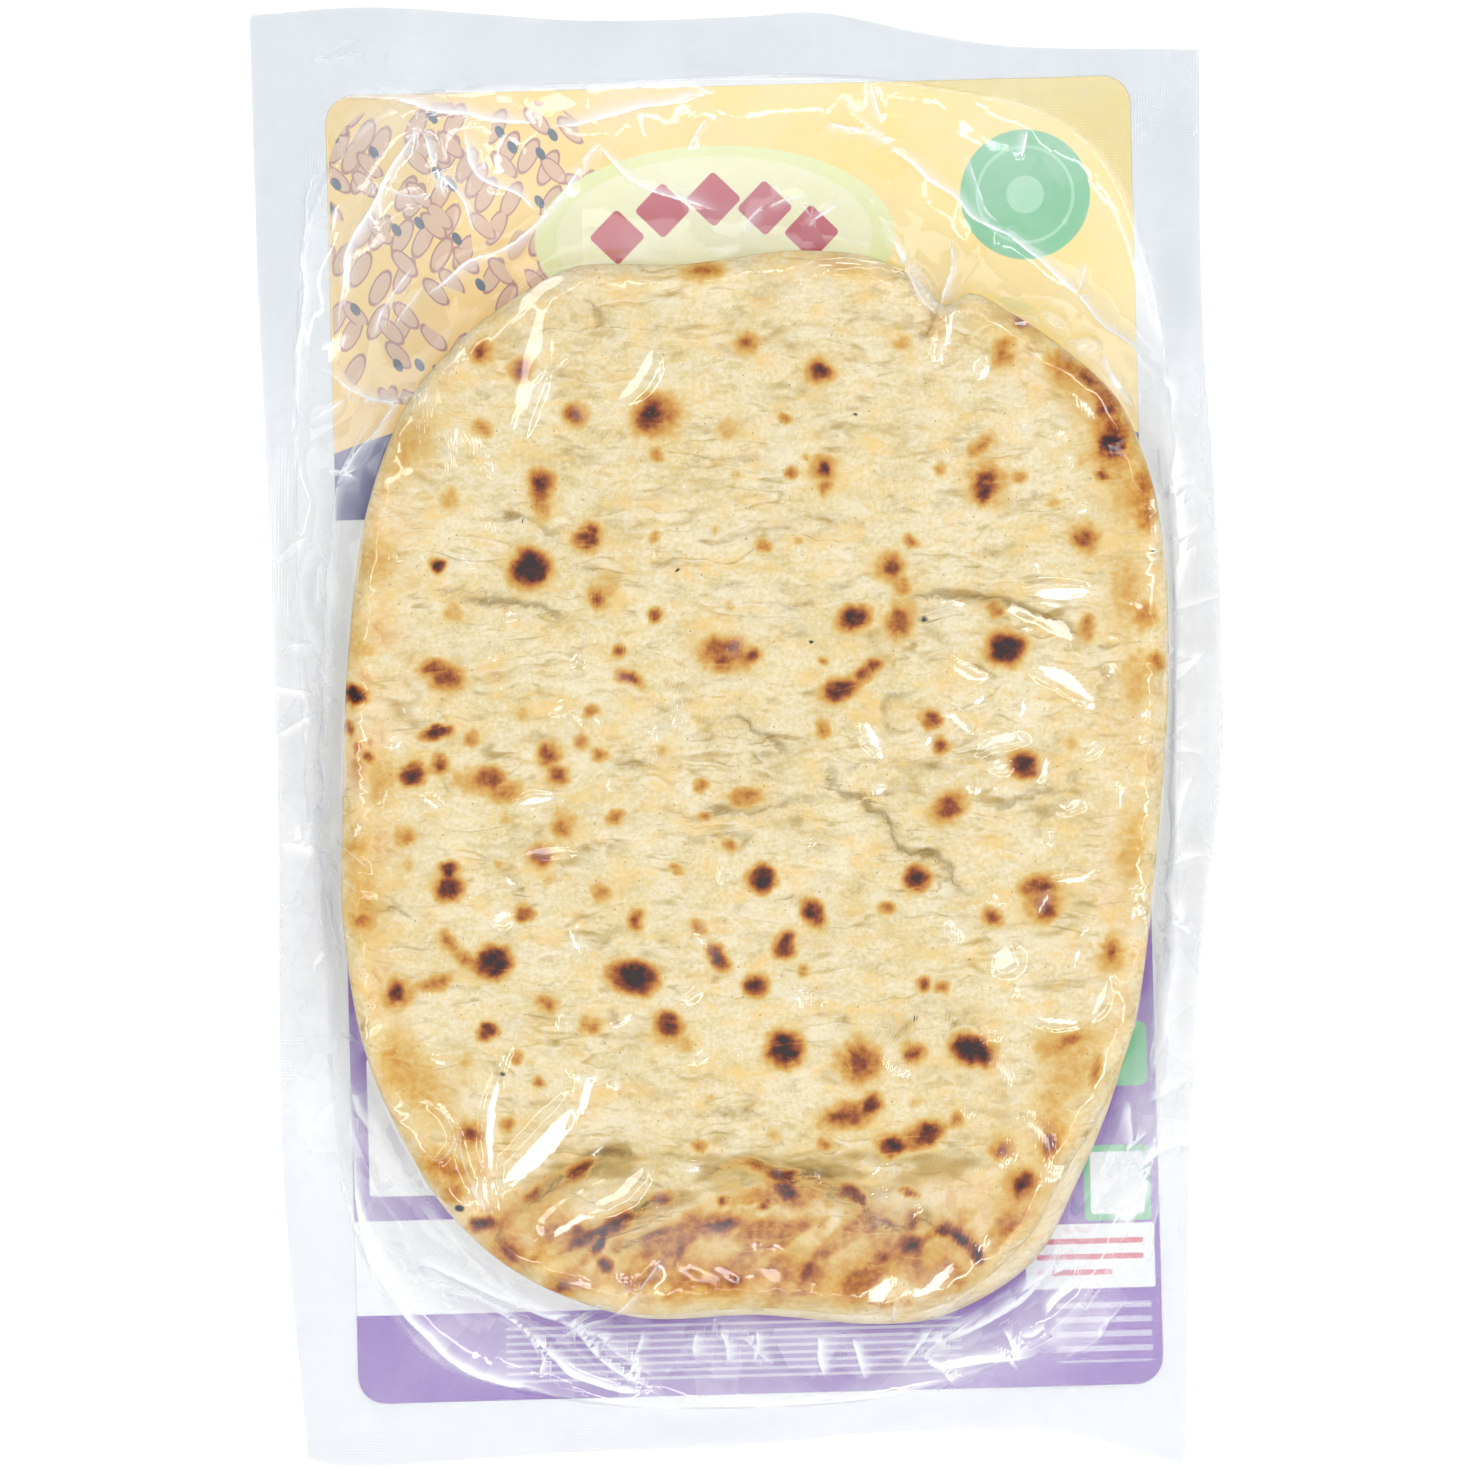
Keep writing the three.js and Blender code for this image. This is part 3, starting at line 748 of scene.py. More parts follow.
# The toasted spots by tone: x, y, radius, then how many times longer than wide, and its turn.
SPOTS: dict[Tone, tuple[Spot, ...]] = {
    Tone.BLACK: (
        (-36.6, 29.8, 3.1), (47.7, 15.6, 2.6, 1.15, 25), (8.5, -55.5, 2.9), (-43.3, -40.1, 2.6, 1.1, 0),
        (-18.2, -42.8, 2.6, 1.45, -12), (66.8, 51.9, 2.1), (42.1, -55.7, 2.5, 1.4, -25), (4.4, -25.4, 2.1),
        (-67.8, 7.4, 1.8), (-24.3, -89.8, 1.1, 2.2, 75), (39.6, -89, 1.1, 2.2, -42),
        (42.4, -91.7, 1.1, 1.8, -55),
    ),
    Tone.DARK: (
        (-34.7, 44.8, 1.8, 1.2, 80), (-26.5, 35.2, 2.1), (44.1, 45.2, 1.9), (44.3, 43.2, 1.5),
        (20.7, 20.9, 1.9, 1.4, 25), (18.3, 8.2, 1.8, 1.5, 25), (-12.1, -51.5, 2.1), (31.9, -25.2, 1.9),
        (51, -5.1, 1.9, 1.2, -20), (27.6, -72.7, 1.6, 1.2, 0), (34.1, -70.3, 1.6, 1.5, 30), (24, -65.4, 1.5),
        (-57.4, -6.7, 1.8), (-51.1, -23.6, 1.2, 1.3, 0), (-51.1, -26.7, 1.6, 1.2, 90),
        (-3.3, -39.2, 1.4, 1.5, -60), (9, -80.9, 1.5, 1.7, -40), (-3.1, -86.9, 1, 3.8, 8),
        (50.9, -79.4, 1.5, 1.3, 35), (3.5, -44.3, 1.7), (13.7, -31.4, 1.4, 1.7, -60),
        (8.6, -36.9, 1.6, 1.3, 80), (14.7, 64.7, 1.4, 1.2, 0), (15.5, 47.7, 1), (-60.3, -45.7, 1.6),
        (-44.2, -52.4, 1.2, 1.3, 20), (-23.1, -93.9, 1.2), (37, -87.6, 1, 1.5, -35),
        (31, -90.2, 1.6, 1.2, -20), (-15.6, 57.3, 1.7, 1.3, 50), (-53, 0.8, 1.2, 1.9, 5), (-53, 30.4, 1.1),
    ),
    Tone.BROWN: (
        (-15.2, 57.2, 2.4, 1.3, 50), (34.6, 3.1, 1.7), (36.3, -1.5, 1.3, 1.2, 60),
        (37.7, -12.5, 2.2, 1.5, 38), (45.6, -32.2, 1.5, 1.2, -30), (-51.1, -26.5, 2.4),
        (-43.9, -7.4, 2.1, 1.1, 0), (-33.4, -3.1, 1.8), (-31.8, -6.9, 1.8), (-37.8, -31.5, 1.4),
        (-18, -32.6, 1.5), (-34.6, -21.2, 1.8, 1.3, 5), (-20.9, 15.1, 1.1), (-14.5, 21.6, 1.2),
        (-25, 24.3, 1.3), (24.2, 12.4, 1.2, 1.2, 30), (22.2, 10.8, 0.9, 2, 35), (-18.9, 10.2, 1.0, 2.4, -28),
        (28.9, 20.4, 1.5, 1.7, 85), (27.6, 29.7, 1.7), (-3.4, 15.9, 1.5), (-0.5, 15.8, 1.6), (-2, 13, 1.4),
        (2.6, 14.6, 1.3), (-51.9, 10.6, 2.2, 1.5, -20), (-54, 12.1, 1.3, 1.5, 20), (61.7, 35.2, 1.8),
        (62.6, 63.7, 1.5, 1.8, -30), (65.6, 58, 1.7, 1.3, 60), (65.2, 46.6, 1.1), (66.7, 54, 2.8),
        (53.8, -26.6, 1.6, 1.9, 8), (55.2, -30.8, 1.7, 1.3, 85), (33.2, -43.9, 1.3),
        (66.7, -38.3, 1, 1.4, 60), (21.7, -57.8, 3), (31.3, -56.4, 1.2, 1.4, -10),
        (19.4, -67.6, 1.5, 2.6, 14), (-47.1, -70.6, 1.4), (-28.2, -87.9, 1.3, 1.6, 10),
        (-30.8, -97.7, 1.0, 1.6, 30), (-40.2, -91.5, 1.2, 2, -60), (-45, -86.7, 0.8, 3, 12), (-2.5, -82.8, 1),
        (5, -83.2, 0.8), (26, -92.5, 1.0, 1.6, 50), (12.8, -94.6, 1.2, 1.8, 70), (0, -96.3, 1.4, 1.6, 20),
        (30.6, -80.9, 0.6, 3, -28), (47.1, -73.1, 1.3), (55.7, -72.3, 1.3, 1.4, 80),
        (-28.5, 57.2, 1.1, 1.4, -40), (-38.3, 65.3, 1.3, 1.2, 90), (50.7, 73.7, 1.2, 1.4, 0),
        (-45.4, 68.3, 1.2), (-10, -91.5, 1.4, 2, 70), (-52.7, -5.2, 1.6), (-65.5, -3.7, 1),
        (-68.8, 1.4, 0.8, 1.6, 90), (1.9, 69.9, 0.8),
    ),
    Tone.AMBER: (
        (-34.7, 40.9, 1.6, 1.5, 85), (15.8, 44.4, 1.2, 1.7, 85), (15.5, 47.8, 2.4), (14.7, 64.7, 2.4),
        (-13.6, 57, 3.6, 1.2, 20), (-38.3, 65.3, 2.2), (-28.5, 57.2, 2), (-45.4, 68.3, 2.2),
        (-45.3, 54.5, 1.7), (-14, 49.9, 1.4), (1.9, 69.8, 2), (8.7, 56.7, 1.1), (9.7, 46.7, 1.2),
        (-14.5, 35.7, 1.1), (4.8, 33.8, 1.3), (30.9, 34.7, 1.3), (27.3, 30.1, 2.6), (29.4, 26.5, 1.5),
        (29.1, 20.6, 2.4, 1.4, 85), (46.1, 22.4, 1.3), (62.3, 19.5, 1.6, 1.4, 80), (72.6, 21.6, 2, 1.3, 80),
        (74.6, 13.3, 1.8), (15.5, 1.4, 1.4), (15.4, 13.4, 0.9), (1.8, -10.9, 1.6, 2, 0), (-6.4, -8.8, 1.2),
        (-5.8, -14, 1), (-21.3, -14.4, 1.4), (-1.2, -19.6, 1.4), (-25.7, 4.2, 1.2), (-10.6, -23.6, 1, 1.4, 0),
        (-24.1, -27.8, 1.6), (-30.9, -16.5, 1.9), (-41.2, -10, 1.7, 2, -10), (-27.5, -0.8, 1.5),
        (-24.1, -3.4, 1.2, 1.4, 0), (-47.1, -0.4, 1.3), (-58.9, -17.8, 1.5, 1.3, 0),
        (-66.5, -32.7, 1.4, 1.4, 0), (-53.4, -43.8, 1.5, 2.3, 15), (-48.5, -39.5, 1.5, 1.4, -30),
        (-51.2, -36.4, 1.5, 1.4, -40), (-60.2, -45.7, 2.8), (-33.7, -47.4, 1.6, 1.2, 0), (-25.8, -51.2, 1.9),
        (-39.2, -57, 1.4), (-35.1, -61.6, 1), (-41, -69.1, 1.3), (-51.4, -76.8, 2.6, 1.7, -20),
        (-50.3, -80.6, 2), (-47.3, -70.8, 2.6), (-6.8, -34, 1.3, 1.3, -40), (26.7, -30.5, 1.3),
        (11.8, -41.4, 1.2), (36.8, -44.5, 1.2), (54.4, -28.5, 3.2, 1.3, 85), (66.6, -38.6, 2.3, 1.3, 60),
        (31.3, -56.4, 2), (21.7, -57.8, 3.8), (15.7, -72.4, 1.4), (-6.6, -72.7, 1.2), (39.1, -68.2, 1.4),
        (30.8, -71.8, 2, 2.4, 18), (19.6, -67.3, 2.4, 2, 12), (47.2, -73.1, 2.2), (55.7, -72.3, 2.2, 1.4, 80),
        (63.9, -59.5, 1.2, 2.4, 80), (59.5, -53.8, 1.5, 2, 20), (50.8, -79.6, 3.2), (43.4, 51.7, 1.3, 2, 40),
        (36.2, 47.6, 1.1), (50.3, 46.1, 1.3), (47.3, 68.3, 2, 1.4, 70), (58.2, 66, 2.2, 1.6, -30),
        (65.8, 60, 2.6, 1.6, -50), (67, 52, 3.8, 1.4, 80), (72.2, 44, 2.2, 2, 85), (72.9, 38.8, 1.6, 1.8, 85),
        (44.2, 44.7, 3.4, 1.1, 80), (61.7, 35.1, 2.6), (-5.8, 82.8, 1.8, 1.8, 0), (-40.5, -91, 3.2, 1.5, -50),
        (-33, -88, 2.4, 1.6, 45), (-28.5, -89, 3, 1.4, 20), (-30, -97, 3, 1.5, 15), (-12, -91.5, 2, 2.2, 62),
        (-14.5, -95, 2.4), (6.5, -94, 1.3, 3.2, 32), (-2, -96, 3.6, 1.5, 8), (13, -96, 3, 1.5, 60),
        (20.5, -97, 2.6, 1.6, 50), (28.5, -91.5, 3.6, 1.6, -15), (8.5, -87.4, 1.1, 2, 0),
        (23.6, -87.8, 1.1, 1.6, -20), (9.4, -80.8, 3, 1.5, -30), (-3, -86.9, 2, 3, 8),
        (40, -89, 2.2, 2.4, -42), (-18, -96.5, 2.5, 1.6, 0), (38, -95, 2.2, 1.8, -45), (-2, 14.5, 3, 1.8, -5),
        (-4.5, -96, 2.4, 1.6, 20), (21.5, -97.5, 2.6, 1.4, 60), (8, -97, 2.2, 2.2, 70),
        (-9, -96, 2.6, 1.8, 60), (33, -95, 2.8, 1.5, -40),
    ),
    Tone.GOLD: (
        (-1.5, 54.3, 2.1, 1.3, 0), (44.6, 52.3, 2), (29.6, 69.6, 1.4), (-50.7, 43.1, 1.4), (-50, 21.9, 1.8),
        (-23, 26.6, 2.6), (-1.4, 23.5, 1.1), (15.6, 13.8, 1.1), (-37.7, 4.1, 1.6), (-13.2, -2.6, 1),
        (0.3, -10.7, 1.9), (3.9, -10.4, 1.4), (-58.2, -22.8, 1.4), (-40.8, -14.5, 1.1), (-42.2, -22.4, 1.1),
        (-33.2, -25.8, 1.2), (-67.1, -17.9, 2.6, 1.4, 85), (-66.5, -33.2, 2.2), (-61.1, -56.8, 2.8),
        (-52.5, -76.6, 3.6, 1.3, 120), (-48, -58, 1.7), (59.5, -1.5, 1.4), (72.1, 42.8, 2.8, 1.4, 100),
        (61.3, 49.2, 1.3), (56.4, 41.5, 1.3), (57.7, 62.9, 2.6), (-5.9, 82.4, 2.4, 1.8, 0),
        (18, 83.6, 2.4, 2.6, -5), (56.3, -69, 2.6), (55.4, -55.9, 3.2), (32.1, -65.1, 1.2),
        (-4.8, -64.4, 1.2), (6.4, -70.8, 1.5), (-40, -9, 1.9), (-31, -15, 3), (-47.5, -8, 3, 1.5, 0),
        (-34.7, 43, 3.4), (5, -95.5, 6, 3.4, 0), (22, -95, 5, 1.6, 0), (-14, -91, 4, 2, 10),
        (38, -92, 4, 1.8, -40), (-35, -86, 4, 2, 50), (66, 61, 3.4, 2, 130), (-63.6, 30.8, 4.5),
        (-66.6, 15.4, 2.4), (-68, -19.9, 2.5), (-60.3, -58.2, 3.4, 2, 100), (-8.9, -54.7, 2),
        (59.3, -53.8, 3, 2, 0), (-50.8, 22, 1.6), (-51.1, 41.8, 2), (-25, 24.4, 2.7), (0.2, 46.7, 1),
        (12.1, 49.4, 0.9), (-3.9, 36.6, 0.7), (11.2, 34.7, 1), (49.2, -84, 5), (29.2, 69.5, 1.5),
        (69.5, 44, 4.2, 2, 95), (69, 26, 3.4, 2.4, 90), (63, 60, 5, 1.6, 130), (71, 10, 3, 2.4, 90),
        (-70, 20, 3, 3, 90), (-66, -30, 4, 2.4, 95), (-56, -62, 4.5, 2.2, 120), (58, -62, 4.5, 2.4, 60),
        (70, -20, 3, 3, 85), (52, 74, 3.5, 2, -30), (-58, 52, 4, 2, 60), (-63, -8, 3, 2, 90),
    ),
}

# Dark seeds baked into the upper bread: x, y and half length.
SEEDS = (
    (-37.9, 38.4, 0.5), (-10.4, 29.6, 0.6), (1.9, 35.2, 0.45), (74.2, 32.9, 0.5), (31.8, -50.1, 0.6),
    (41.1, -39.6, 0.4), (21, 57.2, 0.5), (-41.5, -59.9, 0.7), (13.3, 16.7, 0.6), (-49.2, -83.8, 1.1),
    (33.3, 20.8, 0.8),
)

# How golden the rim is at a bearing in degrees.
RIM_BEARINGS = (-180, -140, -118, -62, -45, 40, 62, 118, 140, 180)
RIM_GOLD = (0.7, 0.7, 0.8, 0.8, 0.38, 0.42, 0.3, 0.3, 0.6, 0.7)
RIM_WIDTHS = (8, 9, 16, 16, 10, 9, 6, 6, 8, 8)


def crumb_effect() -> Effect:
    """Makes what both crusts have in common: mottling, fine grain, wrinkles and bran flecks.

    A wrinkle is where the sine of a bent noise is near nought, and its dark line is partly painted shade. Its
    width changes from place to place, and a paler ridge runs beside it, where the sine of the noise a little
    shifted is: a painted highlight on its lit side.
    """
    effect = Effect("bread crumb", {"Place": "Vector"}, {
        "Mottle": "Float", "Grain": "Float", "Veins": "Float", "Ridges": "Float", "Fleck": "Float",
        "Height": "Float",
    })
    nodes, place = effect.nodes, effect.into["Place"]
    mottle = nodes.cloud(place, 11.0, 3.0)
    grain = nodes.cloud(place, 0.8, 4.0, 0.7)
    bent = nodes.bend(nodes.bend(place, 14.0, 3.0), 3.0, 0.45)
    swirl = nodes.cloud(nodes.stretch(bent, 0.24, 1.0), 4.6, 2.0, 0.42)
    turns = nodes.times(swirl, 13.0)
    slim = nodes.cloud(nodes.stretch(place, 0.5, 1.0), 3.6, 3.0)
    kept = nodes.spread(nodes.cloud(place, 10.0, 3.0, 0.5), 0.38, 0.58)
    kept = nodes.times(kept, nodes.spread(slim, 0.36, 0.56, 0.25, 1.0))
    # Dark wrinkle lines, partly painted shade, and a painted highlight along one side of each.
    veins, painted_lit_ridges = (
        nodes.times(kept, nodes.spread(nodes.math(
            "DIVIDE", nodes.math("ABSOLUTE", nodes.math("SINE", nodes.math("ADD", turns, shift))),
            nodes.spread(slim, 0.3, 0.7, low, high)), 0.1, 1.0, 1.0, 0.0))
        for shift, low, high in ((0.0, 0.2, 0.6), (0.6, 0.3, 0.5))
    )
    cells = nodes.add("TexVoronoi", {"Vector": place, "Scale": 1.0 / (1.7 * MM)}, feature="F1")
    chosen = nodes.spread(cells.outputs["Color"], 0.6, 0.68)
    fleck = nodes.times(nodes.spread(cells.outputs["Distance"], 0.06, 0.13, 1.0, 0.0), chosen)
    blobs = nodes.cloud(place, 2.4, 2.0)
    effect.give("Mottle", mottle)
    effect.give("Grain", grain)
    effect.give("Veins", veins)
    effect.give("Ridges", painted_lit_ridges)
    effect.give("Fleck", fleck)
    effect.give("Height", nodes.total((grain, 0.16), (blobs, 0.3), (veins, -0.05), (painted_lit_ridges, 0.04)))
    return effect


def fold_line_effect() -> Effect:
    """Makes the fine line along a fold, dark in a crust and white in film.

    From a signed distance to the fold it gives a line that fades out at Width, and a ridge that
    is a falling exponential of the distance over Width, both times the fold's share.
    """
    effect = Effect("fold line", {"Side": "Float", "Share": "Float", "Width": "Float"},
                    {"Line": "Float", "Ridge": "Float"})
    nodes, into = effect.nodes, effect.into
    away = nodes.math("DIVIDE", nodes.math("ABSOLUTE", into["Side"]), into["Width"])
    ridge = nodes.math("EXPONENT", nodes.times(away, -1.0))
    effect.give("Line", nodes.times(nodes.spread(away, 0.3, 1.0, 1.0, 0.0), into["Share"]))
    effect.give("Ridge", nodes.times(ridge, into["Share"]))
    return effect


@dataclass(frozen=True)
class BreadFinish:
    """The baked face of a naan: pale cream with tan creases and painted shade in its grooves and folds, and
    toasted spots from gold to black.
    """

    name: str
    pale: Ink = (241, 227, 196)
    cream: Ink = (222, 200, 143)
    warm: Ink = (238, 202, 130)
    cool: Ink = (233, 224, 198)
    crease: Ink = (174, 144, 74)
    crack_and_deep_shade: Ink = (136, 106, 52)
    rim: Ink = (232, 185, 116)
    amber: Ink = (196, 122, 56)
    bran: Ink = (140, 98, 52)
    seed: Ink = (48, 56, 58)
    roughness: float = 0.6

    TOAST = (
        (0.0, (226, 200, 138)), (0.18, (221, 189, 118)), (0.34, (207, 154, 75)), (0.5, (176, 106, 44)),
        (0.64, (140, 70, 32)), (0.78, (107, 48, 28)), (0.9, (74, 33, 26)), (1.0, (46, 32, 34)),
    )

    def make(self, crumb: Effect, fold_line: Effect) -> bpy.types.Material:
        """Builds the material.

        Args:
            crumb: the crumb effect.
            fold_line: the fold line effect.
        """
        material, nodes = new_material(self.name)
        place = nodes.place()
        effect = crumb.put(nodes, {"Place": place})
        edge = nodes.cloud(place, 1.5, 4.0, 0.6)
        side = nodes.math("SUBTRACT", nodes.total((nodes.mark("split"), 1.0), (edge, 1.8)), 0.9)
        thick = nodes.spread(nodes.cloud(place, 3.0, 3.0), 0.36, 0.64, 0.3, 1.3)
        wide = nodes.times(thick, 0.95)
        split = fold_line.put(nodes, {"Side": side, "Share": nodes.mark("split_deep"), "Width": wide})
        # A wide band round each crack and fold that adds painted shade beside it.
        valley = fold_line.put(nodes, {"Side": side, "Share": nodes.mark("split_deep"), "Width": 2.0})
        bent = nodes.bend(place, 9.0, 2.0)
        streaks = nodes.cloud(nodes.stretch(bent, 0.4, 1.0), 2.0, 4.0, 0.6)
        smudges = nodes.cloud(nodes.stretch(bent, 0.36, 1.0), 3.6, 4.0, 0.6)
        strokes = nodes.cloud(nodes.stretch(bent, 0.34, 1.0), 1.5, 4.0, 0.66)
        dusty = nodes.total((effect["Mottle"], 0.8), (streaks, 0.6), (effect["Grain"], 1.4))
        base = nodes.mix(nodes.spread(dusty, 1.06, 1.72), self.cream, self.pale)
        base = nodes.mix(nodes.spread(smudges, 0.5, 0.74, 0.0, 0.3), base, self.crease)
        patches = nodes.spread(nodes.cloud(place, 9.0, 3.0), 0.36, 0.62, 0.25, 1.0)
        drawn = nodes.times(nodes.spread(strokes, 0.5, 0.7), patches)
        base = nodes.mix(nodes.times(drawn, 0.5), base, self.crease)
        baked = nodes.cloud(nodes.stretch(bent, 0.7, 1.0), 5.0, 5.0, 0.68)
        base = nodes.mix(nodes.spread(baked, 0.3, 0.48, 0.56, 0.0), base, self.cool)
        base = nodes.mix(nodes.spread(baked, 0.47, 0.7, 0.0, 0.8), base, self.warm)
        dabs = nodes.spread(nodes.cloud(place, 2.8, 2.0), 0.66, 0.8, 0.0, 0.55)
        base = nodes.mix(dabs, base, self.rim)
        base = nodes.mix(nodes.times(effect["Ridges"], 0.5), base, self.pale)
        # Painted shade: grooves, wrinkles and fold valleys turn the colour towards the crease ink, and the
        # deepest towards the crack ink.
        shade = nodes.total((nodes.mark("crease"), 1.0), (effect["Veins"], 0.48), (valley["Ridge"], 0.5))
        base = nodes.mix(nodes.spread(shade, 0.02, 1.15, 0.0, 0.86), base, self.crease)
        base = nodes.mix(nodes.spread(shade, 0.9, 2.4, 0.0, 0.85), base, self.crack_and_deep_shade)
        clouds = nodes.cloud(nodes.stretch(place, 1.0, 0.6, 30.0), 5.0, 4.0, 0.6)
        golden = nodes.times(nodes.mark("rim"), nodes.spread(clouds, 0.36, 0.54, 0.12, 0.95))
        base = nodes.mix(golden, base, self.rim)
        deeper = nodes.times(nodes.mark("rim"), nodes.spread(clouds, 0.47, 0.62, 0.0, 1.0))
        base = nodes.mix(nodes.spread(deeper, 0.15, 0.95), base, self.amber)
        # A darker line along each crack and fold, partly painted shade.
        base = nodes.mix(nodes.times(split["Line"], nodes.times(thick, 0.42)), base,
                         self.crack_and_deep_shade)
        ragged = nodes.times(nodes.spread(edge, 0.3, 0.7, 0.78, 1.15), nodes.mark("toast"))
        broken = nodes.spread(effect["Veins"], 0.0, 1.0, 1.0, 0.78)
        ragged = nodes.times(ragged, broken)
        base = nodes.mix(nodes.spread(ragged, 0.08, 0.27), base, nodes.ramp(ragged, self.TOAST))
        base = nodes.mix(nodes.times(effect["Fleck"], 0.65), base, self.bran)
        base = nodes.mix(nodes.spread(nodes.mark("seed"), 0.3, 0.7), base, self.seed)
        relief = nodes.total((effect["Height"], 1.0), (split["Ridge"], -0.35))
        shader = nodes.add("BsdfPrincipled", {"Base Color": base, "Roughness": self.roughness,
                                              "Normal": nodes.bump(relief), "Specular IOR Level": 0.25})
        nodes.output(shader)
        return material


@dataclass
class Naan:
    """One naan: a thin oval loaf with a rolled rim, creased and spotted on both faces."""

    name: str
    form: PackForm
    upper: bool
    grid: DiscGrid
    under_rings: int
    seed: int
    finish: BreadFinish
    under_roll: float = 4.5

    def edge_reach(self, bearing: Array) -> Array:
        """Returns the distance from the hub to this bread's edge."""
        return self.form.upper_reach(bearing) if self.upper else self.form.stack.reach(bearing) - 0.2

    @property
    def floor(self) -> float:
        """The height of the underside."""
        return self.form.lower_top + 0.1 if self.upper else self.form.bag_bottom - 0.1

    def toast(self, x: Array, y: Array, spots: list[tuple[Tone, Spot]]) -> Array:
        """Returns how toasted points are.

        A spot gives its tone's value divided by one plus a power of the distance over its spread,
        on ground that a noise has shifted. Spots are joined by the fourth root of their fourth powers.

        Args:
            x, y: the points.
            spots: each spot's tone and its x, y, radius, stretch and turn.
        """
        noise = Noise(self.seed)
        wx = x + 0.6 * noise.at(x, y, 3.4) + 0.32 * noise.at(x, y, 1.3)
        wy = y + 0.6 * noise.at(x + 60, y, 3.4) + 0.32 * noise.at(x + 60, y, 1.3)
        total = np.zeros_like(x)
        for tone, spot in spots:
            sx, sy, radius, stretch, turn = (*spot, 1.0, 0.0)[:5] if len(spot) < 5 else spot
            value, spread, power = tone.value
            far = radius * stretch * 4.5
            near = (np.abs(x - sx) < far) & (np.abs(y - sy) < far)
            c, s = math.cos(math.radians(turn)), math.sin(math.radians(turn))
            dx, dy = wx[near] - sx, wy[near] - sy
            away = np.hypot(
                (dx * c + dy * s) / (radius * spread * stretch), (dy * c - dx * s) / (radius * spread)
            )
            halo = 0.045 * value / (1.0 + (away / 2.2) ** 3)
            total[near] += (value / (1.0 + away**power) + halo) ** 4
        return total**0.25

    def random_spots(self, count: int) -> list[tuple[Tone, Spot]]:
        """Returns seeded spots for a face that the photo doesn't show."""
        draw = np.random.default_rng(self.seed)
        tones = draw.choice([tone.name for tone in Tone], count, p=[0.34, 0.3, 0.2, 0.1, 0.06])
        bearing = draw.random(count) * 2 * math.pi
        reach = self.edge_reach(bearing) * np.sqrt(draw.random(count)) * 0.94
        radius, stretch = draw.uniform(1.1, 3.2, count), draw.uniform(1.0, 1.6, count)
        turn = draw.uniform(0, 180, count)
        x, y = self.form.plan(reach, bearing)
        return [(Tone[tone], tuple(spot)) for tone, *spot in zip(tones, x, y, radius, stretch, turn)]

    def top_face(self) -> tuple[Array, dict[str, Array]]:
        """Returns the top face's points and marks. The share of the way out is eased to crowd the rim.

        The rim's gold falls with a power of the distance in from the edge over its width, times a
        noise. A seed is a bell over its half length.
        """
        form, noise = self.form, Noise(self.seed + 1)
        share, bearing = self.grid.places()
        share = 1.0 - (1.0 - share) ** 1.12
        distance = self.edge_reach(bearing) * share
        x, y = form.plan(distance, bearing)
        inward = self.edge_reach(bearing) - distance
        seeds = np.zeros_like(x)
        if self.upper:
            height, shade, split, split_deep, burnt = self.upper_relief(x, y, inward)
            spots = [(tone, spot) for tone, row in SPOTS.items() for spot in row]
            turned = (np.degrees(bearing) + 180) % 360 - 180
            gold, wide = (np.interp(turned, RIM_BEARINGS, row) for row in (RIM_GOLD, RIM_WIDTHS))
            for sx, sy, half in SEEDS:
                bell = np.exp(-(((x - sx) / half) ** 2 + ((y - sy) / (0.7 * half)) ** 2))
                seeds = np.maximum(seeds, bell)
        else:
            height, shade = form.lower_top_face(x, y)
            split, split_deep, burnt = np.full_like(x, NO_FOLD), np.zeros_like(x), np.zeros_like(x)
            spots, gold, wide = self.random_spots(60), 0.3, 6.5
        rim = gold * np.exp(-((inward / wide) ** 1.6)) * (1.1 + 0.8 * noise.at(x, y, 9.0))
        rim = rim * (0.3 + 0.7 * eased((inward - 0.6) / 2.2)) if self.upper else rim
        marks = {"toast": np.maximum(self.toast(x, y, spots), burnt), "crease": shade,
                 "rim": np.clip(rim, 0, 1), "seed": seeds, "split": split, "split_deep": split_deep}
        return np.stack([x, y, height], 1), marks

    def upper_relief(self, x: Array, y: Array, inward: Array) -> tuple[Array, Array, Array, Array, Array]:
        """Works out the upper bread's face.

        Its height is the stack's less the rim's roll, plus the broad relief and the grain less the
        folds and cracks, all of which fade out where the rim rolls over. Shade is painted into the
        valleys, and along a long band that bends up towards both ends of the foot.

        Args:
            x, y: the points.
            inward: their distance in from the edge.

        Returns:
            The height, the shade, the distance to the nearest fold or crack, its share, and the scorch.
        """
        form, noise = self.form, Noise(self.seed + 1)
        wx = x + 0.9 * noise.at(x, y, 7.0) + 0.45 * noise.at(x, y, 2.3)
        wy = y + 0.6 * noise.at(x + 60, y, 6.0) + 0.4 * noise.at(x + 60, y, 2.0)
        folds = lay_folds(FOLDS, 0.5 * (x + wx), 0.5 * (y + wy), 0.5)
        cracks = lay_folds(CRACKS, wx, wy, 0.35)
        fine, shade = form.grain(x, y)
        fade = eased(inward / form.rim_roll)
        pressed = 0.75 * folds.press + 0.45 * cracks.press
        height = form.stack_top - form.rolled(inward, form.rim_roll, form.rim_drop)
        height = height + (0.25 + 0.75 * fade) * fine
        height += fade * form.broad(x, y) - (0.35 + 0.65 * fade) * pressed
        foot = eased((FOOT_TOP - y) / 6)
        # Painted shade in the fold valleys, stronger on the foot.
        shade = shade + (0.34 + 0.5 * foot) * np.maximum(folds.press, 0)
